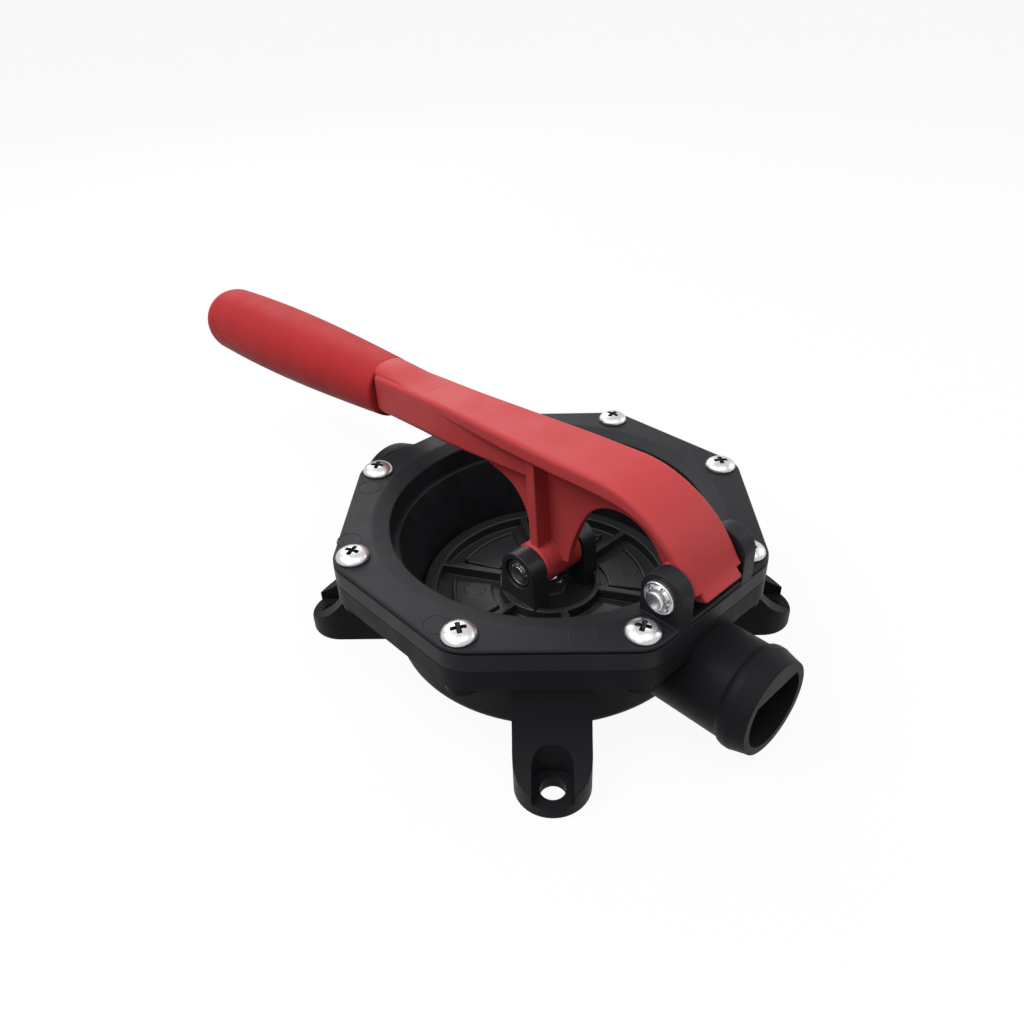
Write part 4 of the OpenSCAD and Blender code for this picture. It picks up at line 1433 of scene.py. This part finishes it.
@dataclass
class LiftPlate:
    """The ribbed plate on the rubber, with its hub wall, pads and two pin ears."""

    low: float = 11.5
    floor: float = 13.75
    top: float = 17.75
    radius: float = 46.25
    under_rim: tuple[Flat, ...] = ((1, 0), (0.3, 0.3), (0, 1))
    rim_edge: float = 1.0
    rim_in: float = 41.25
    rim_in_edge: float = 0.6
    root: float = 0.5
    hub: Flat = (16.3, 18.5)
    hub_edge: float = 0.4
    ribs: int = 6
    rib_r: Flat = (17.4, 42.25)
    rib_half: float = 1.3
    rib_low: float = 12.75
    rib_top: float = 17.7
    rib_edge: float = 0.35
    pad_r: Flat = (21.6, 36.0)
    pad_z: Flat = (13.25, 15.15)
    pad_edge: float = 0.3
    pad_turn: float = 24.88
    pad_shift: float = 7.2
    ridge_z: Flat = (13.35, 16.3)
    ridge: float = 1.5
    ridge_edge: float = 0.6
    pin_z: float = 29.4
    pin_r: float = 3.02
    ear_r: float = 8.0
    ear_foot: float = 12.75
    ear_slope: float = 0.072
    ear_y: Flat = (9.2, 16.3)
    ear_edge: tuple[Flat, ...] = ((0.5, 0), (0.15, 0.15), (0, 0.5))
    well_r: float = 5.8
    well_edge: float = 0.25
    well_d: float = 1.6
    marks: tuple[Point, ...] = ((-18.0, -21.1, 3.8), (15.7, 26.3, 3.2))
    mark_edge: tuple[Flat, ...] = ((0.1, -0.3), (0.05, 0.12), (-0.25, 0.2), (-0.6, 0.1))

    def pad_side(self, radius: float) -> float:
        """Gives the half angle of a pad at a radius, its sides clear of the ribs."""
        shift = self.pad_shift * math.sin(math.radians(self.pad_turn))
        return self.pad_turn - math.degrees(math.asin(shift / radius))

    def pad(self, inner: float, outer: float, steps: int) -> list[Flat]:
        """Gives the outline of a pad.

        Args:
            inner: The radius of its inner edge.
            outer: The radius of its outer edge.
            steps: Segments of each edge.

        Returns:
            The outline's points.
        """
        a, b = self.pad_side(outer), self.pad_side(inner)
        return arc((0, 0), outer, -a, a, steps) + arc((0, 0), inner, b, -b, steps)

    def pads(self, shell: Shell) -> None:
        """Adds the raised pads, each with a ridge along its outer edge.

        Args:
            shell: Takes the skins.
        """
        inner, outer = self.pad_r
        for i in range(self.ribs):
            turn = turned(360 / self.ribs * i)
            shell.prism(self.pad(inner, outer, 12), *self.pad_z, self.pad_edge, turn)
            shell.prism(self.pad(outer - self.ridge, outer, 12), *self.ridge_z,
                        self.ridge_edge, turn, steps=5)

    def ear_reach(self, turn: float) -> float:
        """Gives the ear's edge from the pin's centre, round above and leaning below.

        Args:
            turn: The angle about the pin.

        Returns:
            The distance.
        """
        sine, cosine = math.sin(math.radians(turn)), abs(math.cos(math.radians(turn)))
        if sine >= 0:
            return self.ear_r
        side = self.ear_r / max(TINY, cosine + self.ear_slope * sine)
        return min(side, (self.pin_z - self.ear_foot) / -sine)

    def ear(self, shell: Shell, side: Matrix) -> None:
        """Adds one ear with the well for its clip.

        Args:
            shell: Takes the skin.
            side: Turns the ear to its side of the plate.
        """
        turns = [360 * share for share in shares(96)[:-1]]
        near, far = self.ear_y
        edges = [(d, near + h) for d, h in self.ear_edge]
        edges += [(d, far - h) for d, h in reversed(self.ear_edge)]
        rings = [(self.well_r + self.well_edge, far), (self.well_r, far - self.well_edge),
                 (self.well_r, far - self.well_d), (self.pin_r, far - self.well_d)]
        loops = [[(*polar(self.pin_r, t), near) for t in turns]]
        loops += [[(*polar(self.ear_reach(t) - d, t), y) for t in turns] for d, y in edges]
        loops += [[(*polar(r, t), y) for t in turns] for r, y in rings]
        shell.skin(loops, moved(0, 0, self.pin_z) @ side, closed=True)

    def disc(self, shell: Shell) -> None:
        """Turns the plate's floor, rim and hub wall.

        Args:
            shell: Takes the skin.
        """
        (hub_in, hub_out), edge, root = self.hub, self.hub_edge, self.root
        rim, inner = self.rim_edge, self.rim_in_edge
        profile = [(0, self.low)] + [(self.radius - a, self.low + h) for a, h in self.under_rim]
        profile += arc((self.radius - rim, self.top - rim), rim, 0, 90, 6)
        profile += arc((self.rim_in + inner, self.top - inner), inner, 90, 180, 4)
        profile += arc((self.rim_in - root, self.floor + root), root, 0, -90, 4)
        profile += arc((hub_out + root, self.floor + root), root, -90, -180, 4)
        profile += arc((hub_out - edge, self.top - edge), edge, 0, 90, 3)
        profile += arc((hub_in + edge, self.top - edge), edge, 90, 180, 3)
        shell.lathe(profile + [(hub_in, self.floor), (0, self.floor)], steps=144)

    def build(self, finishes: Finishes) -> None:
        """Builds the plate as one piece.

        Args:
            finishes: Where its finish comes from.
        """
        shell = Shell()
        self.disc(shell)
        rib = panel((self.rib_r[0], -self.rib_half), (self.rib_r[1], self.rib_half))
        for i in range(self.ribs):
            shell.prism(rib, self.rib_low, self.rib_top, self.rib_edge,
                        turned(360 / self.ribs * (i + 0.5)))
        self.pads(shell)
        for side in BOTH_SIDES:
            self.ear(shell, side)
        for x, y, r in self.marks:
            edge = [(r + a, h) for a, h in self.mark_edge]
            profile = [(0, edge[0][1])] + edge + [(0, edge[-1][1])]
            shell.lathe(profile, moved(x, y, self.pad_z[1]), steps=48)
        shell.piece("lift_plate", Body.PLATE, Slot.BLACK, finishes, ["diaphragm_plate"],
                    tone=Tone.PLATE)


# ---- Valves ------------------------------------------------------------------------------


@dataclass
class ValveRubber:
    """The rubber flap of one valve with its knuckle."""

    name: str
    body: Body
    start_x: float
    axis_z: float = 20.75
    flap_x: float = 4.05
    flap_r: float = 10.9
    flap_z: Flat = (3.05, 5.05)
    flap_edge: float = 0.3
    chord: float = 6.4
    stem_z: Flat = (3.07, 5.03)
    stem_edge: float = 0.2
    stem_root: float = 0.6
    pin_z: float = 9.4
    knuckle_r: float = 1.9
    knuckle_half: float = 4.8
    knuckle_edge: float = 0.3

    def build(self, finishes: Finishes) -> None:
        """Builds the flap as one piece.

        Args:
            finishes: Where its finish comes from.
        """
        place = moved(self.start_x, 0, self.axis_z)
        shell = Shell()
        cut = math.degrees(math.asin(self.chord / self.flap_r))
        disc = arc((0, 0), self.flap_r, 180 - cut, 360 + cut, 64)
        shell.prism(disc, *self.flap_z, self.flap_edge, place @ ALONG)
        half, edge = self.knuckle_half, self.knuckle_edge
        stem = panel((-half, self.chord - self.stem_root), (half, self.pin_z))
        shell.prism(stem, *self.stem_z, self.stem_edge, place @ ALONG)
        knuckle = spindle(self.knuckle_r, half, ((0, edge), (edge, 0)))
        shell.lathe(knuckle, place @ moved(self.flap_x, 0, self.pin_z) @ ACROSS, steps=32)
        shell.piece(f"{self.name}_rubber", self.body, Slot.RUBBER, finishes,
                    [f"{self.name}_flap"])


@dataclass
class Seals:
    """The two sealing rings in the grooves of the valve cages."""

    places_x: Flat = (-58.5, 60.9)
    axis_z: float = 20.75
    ring_r: float = 13.5
    cord_r: float = 0.75

    def build(self, finishes: Finishes) -> None:
        """Builds both rings as one piece.

        Args:
            finishes: Where their finish comes from.
        """
        shell = Shell()
        section = arc((self.ring_r, 0), self.cord_r, 0, 360, 24)[:-1]
        for x in self.places_x:
            shell.lathe(section, moved(x, 0, self.axis_z) @ ALONG, closed=True)
        shell.piece("seal_rings", Body.PUMP, Slot.RUBBER, finishes, ["cage_seals"])


# ---- Camera, floor and light -------------------------------------------------------------


@dataclass
class Lamp:
    """A soft rectangular lamp."""

    name: str
    place: Point
    size: Flat
    watts: float
    aim: Point = (0, 0, 0.03)

    def add(self) -> None:
        """Adds the lamp to the scene."""
        data = bpy.data.lights.new(self.name, "AREA")
        data.shape = "RECTANGLE"
        data.size, data.size_y = self.size
        data.energy = self.watts
        lamp = bpy.data.objects.new(self.name, data)
        lamp.location = self.place
        look = Vector(self.aim) - Vector(self.place)
        lamp.rotation_euler = look.to_track_quat("-Z", "Y").to_euler()
        bpy.context.scene.collection.objects.link(lamp)


@dataclass
class Studio:
    """Camera, pale floor and soft lamps."""

    camera_mm: Point = (174.48, -174.75, 217.56)
    azimuth: float = 46.327
    elevation: float = 34.473
    roll: float = -1.509
    focal_px: float = 862.14
    centre_px: Flat = (532.13, 511.47)
    image_px: int = 1024
    sensor_mm: float = 36.0
    clip_m: Flat = (0.01, 20)
    floor_half: float = 12.0
    floor_z: float = -0.0002
    floor_grey: float = 0.9
    floor_roughness: float = 0.9
    floor_glow: float = 0.93
    sky: float = 0.16
    bounce: float = 0.10
    lamps: tuple[Lamp, ...] = (
        Lamp("key", (-0.30, -0.48, 0.80), (0.6, 0.5), 6.1),
        Lamp("front", (0.30, -0.75, 0.55), (0.5, 0.4), 1.2),
        Lamp("over", (0.35, -0.05, 0.85), (0.6, 0.6), 2.4),
        Lamp("back", (-0.80, 0.34, 0.56), (0.7, 0.5), 3.2),
        Lamp("rear", (0.35, 0.75, 0.45), (0.6, 0.4), 1.8),
    )

    def camera_turn(self) -> Matrix:
        """Gives the camera's direction.

        Returns:
            The matrix that turns a camera from looking down.
        """
        az, el, roll = (math.radians(a) for a in (self.azimuth, self.elevation, self.roll))
        back = Vector((math.sin(az) * math.cos(el), -math.cos(az) * math.cos(el), math.sin(el)))
        level = Vector((math.cos(az), math.sin(az), 0))
        upright = back.cross(level)
        right = level * math.cos(roll) + upright * math.sin(roll)
        up = upright * math.cos(roll) - level * math.sin(roll)
        return Matrix((right, up, back)).transposed().to_4x4()

    def camera(self) -> None:
        """Places the camera that gives the wanted framing."""
        middle = self.image_px / 2
        data = bpy.data.cameras.new("camera")
        data.sensor_width = self.sensor_mm
        data.lens = self.focal_px * self.sensor_mm / self.image_px
        data.shift_x = (middle - self.centre_px[0]) / self.image_px
        data.shift_y = (self.centre_px[1] - middle) / self.image_px
        data.clip_start, data.clip_end = self.clip_m
        cam = bpy.data.objects.new("camera", data)
        cam.matrix_world = moved(*(c * MM for c in self.camera_mm)) @ self.camera_turn()
        bpy.context.scene.collection.objects.link(cam)
        bpy.context.scene.camera = cam

    def floor(self) -> None:
        """Lays a pale floor that shows white to the camera and keeps the shadow."""
        half, low = self.floor_half, self.floor_z
        corners = [(-half, -half, low), (half, -half, low), (half, half, low), (-half, half, low)]
        mesh = bpy.data.meshes.new("floor")
        mesh.from_pydata(corners, [], [(0, 1, 2, 3)])
        floor = bpy.data.objects.new("floor", mesh)
        bpy.context.scene.collection.objects.link(floor)
        g = Graph("floor_pale")
        g.set(Base_Color=grey(self.floor_grey), Roughness=self.floor_roughness)
        rays = g.add("ShaderNodeLightPath")
        glow = g.shader_of("ShaderNodeEmission", Color=grey(1))
        dim = g.shader_of("ShaderNodeBsdfDiffuse", Color=grey(self.bounce))
        lit = g.either(rays.outputs["Is Diffuse Ray"], g.shader.outputs["BSDF"], dim)
        share = g.math("MULTIPLY", g.seen_directly(rays), self.floor_glow)
        g.link(g.either(share, lit, glow), g.out.inputs["Surface"])
        mesh.materials.append(g.material)

    def world(self) -> None:
        """Lights the scene softly all round and shows white behind it."""
        world = bpy.data.worlds.new("studio")
        world.use_nodes = True
        bpy.context.scene.world = world
        nodes = Nodes(world.node_tree)
        out = nodes.add("ShaderNodeOutputWorld")
        direct = nodes.seen_directly(nodes.add("ShaderNodeLightPath"))
        soft = nodes.shader_of("ShaderNodeBackground", Color=grey(1), Strength=self.sky)
        white = nodes.shader_of("ShaderNodeBackground", Color=grey(1), Strength=1.0)
        nodes.link(nodes.either(direct, soft, white), out.inputs["Surface"])

    def build(self) -> None:
        """Sets up camera, floor, world and lamps."""
        bpy.context.scene.view_settings.view_transform = "Standard"
        self.camera()
        self.floor()
        self.world()
        for lamp in self.lamps:
            lamp.add()
        LOG.info("studio ready")


class Part(Protocol):
    """A sub-assembly that can be built."""

    def build(self, finishes: Finishes) -> None:
        """Builds its pieces with the finishes."""


PARTS: tuple[Part, ...] = (
    ClampRing(), CrossScrews(), RubberCup(), LiftPlate(), PlatePinSet(), FulcrumSet(), Lever(),
    Grip(), ValveRubber("inlet", Body.INLET, -66.0), ValveRubber("outlet", Body.OUTLET, 53.4),
    Seals(),
)


def main() -> None:
    """Builds and dresses every sub-assembly in order."""
    logging.basicConfig(level=logging.INFO, format="%(name)s: %(message)s")
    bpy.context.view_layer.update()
    finishes = Finishes()
    finishes.dress_nodes()
    Studio().build()
    for part in PARTS:
        part.build(finishes)


if __name__ == "__main__":
    main()
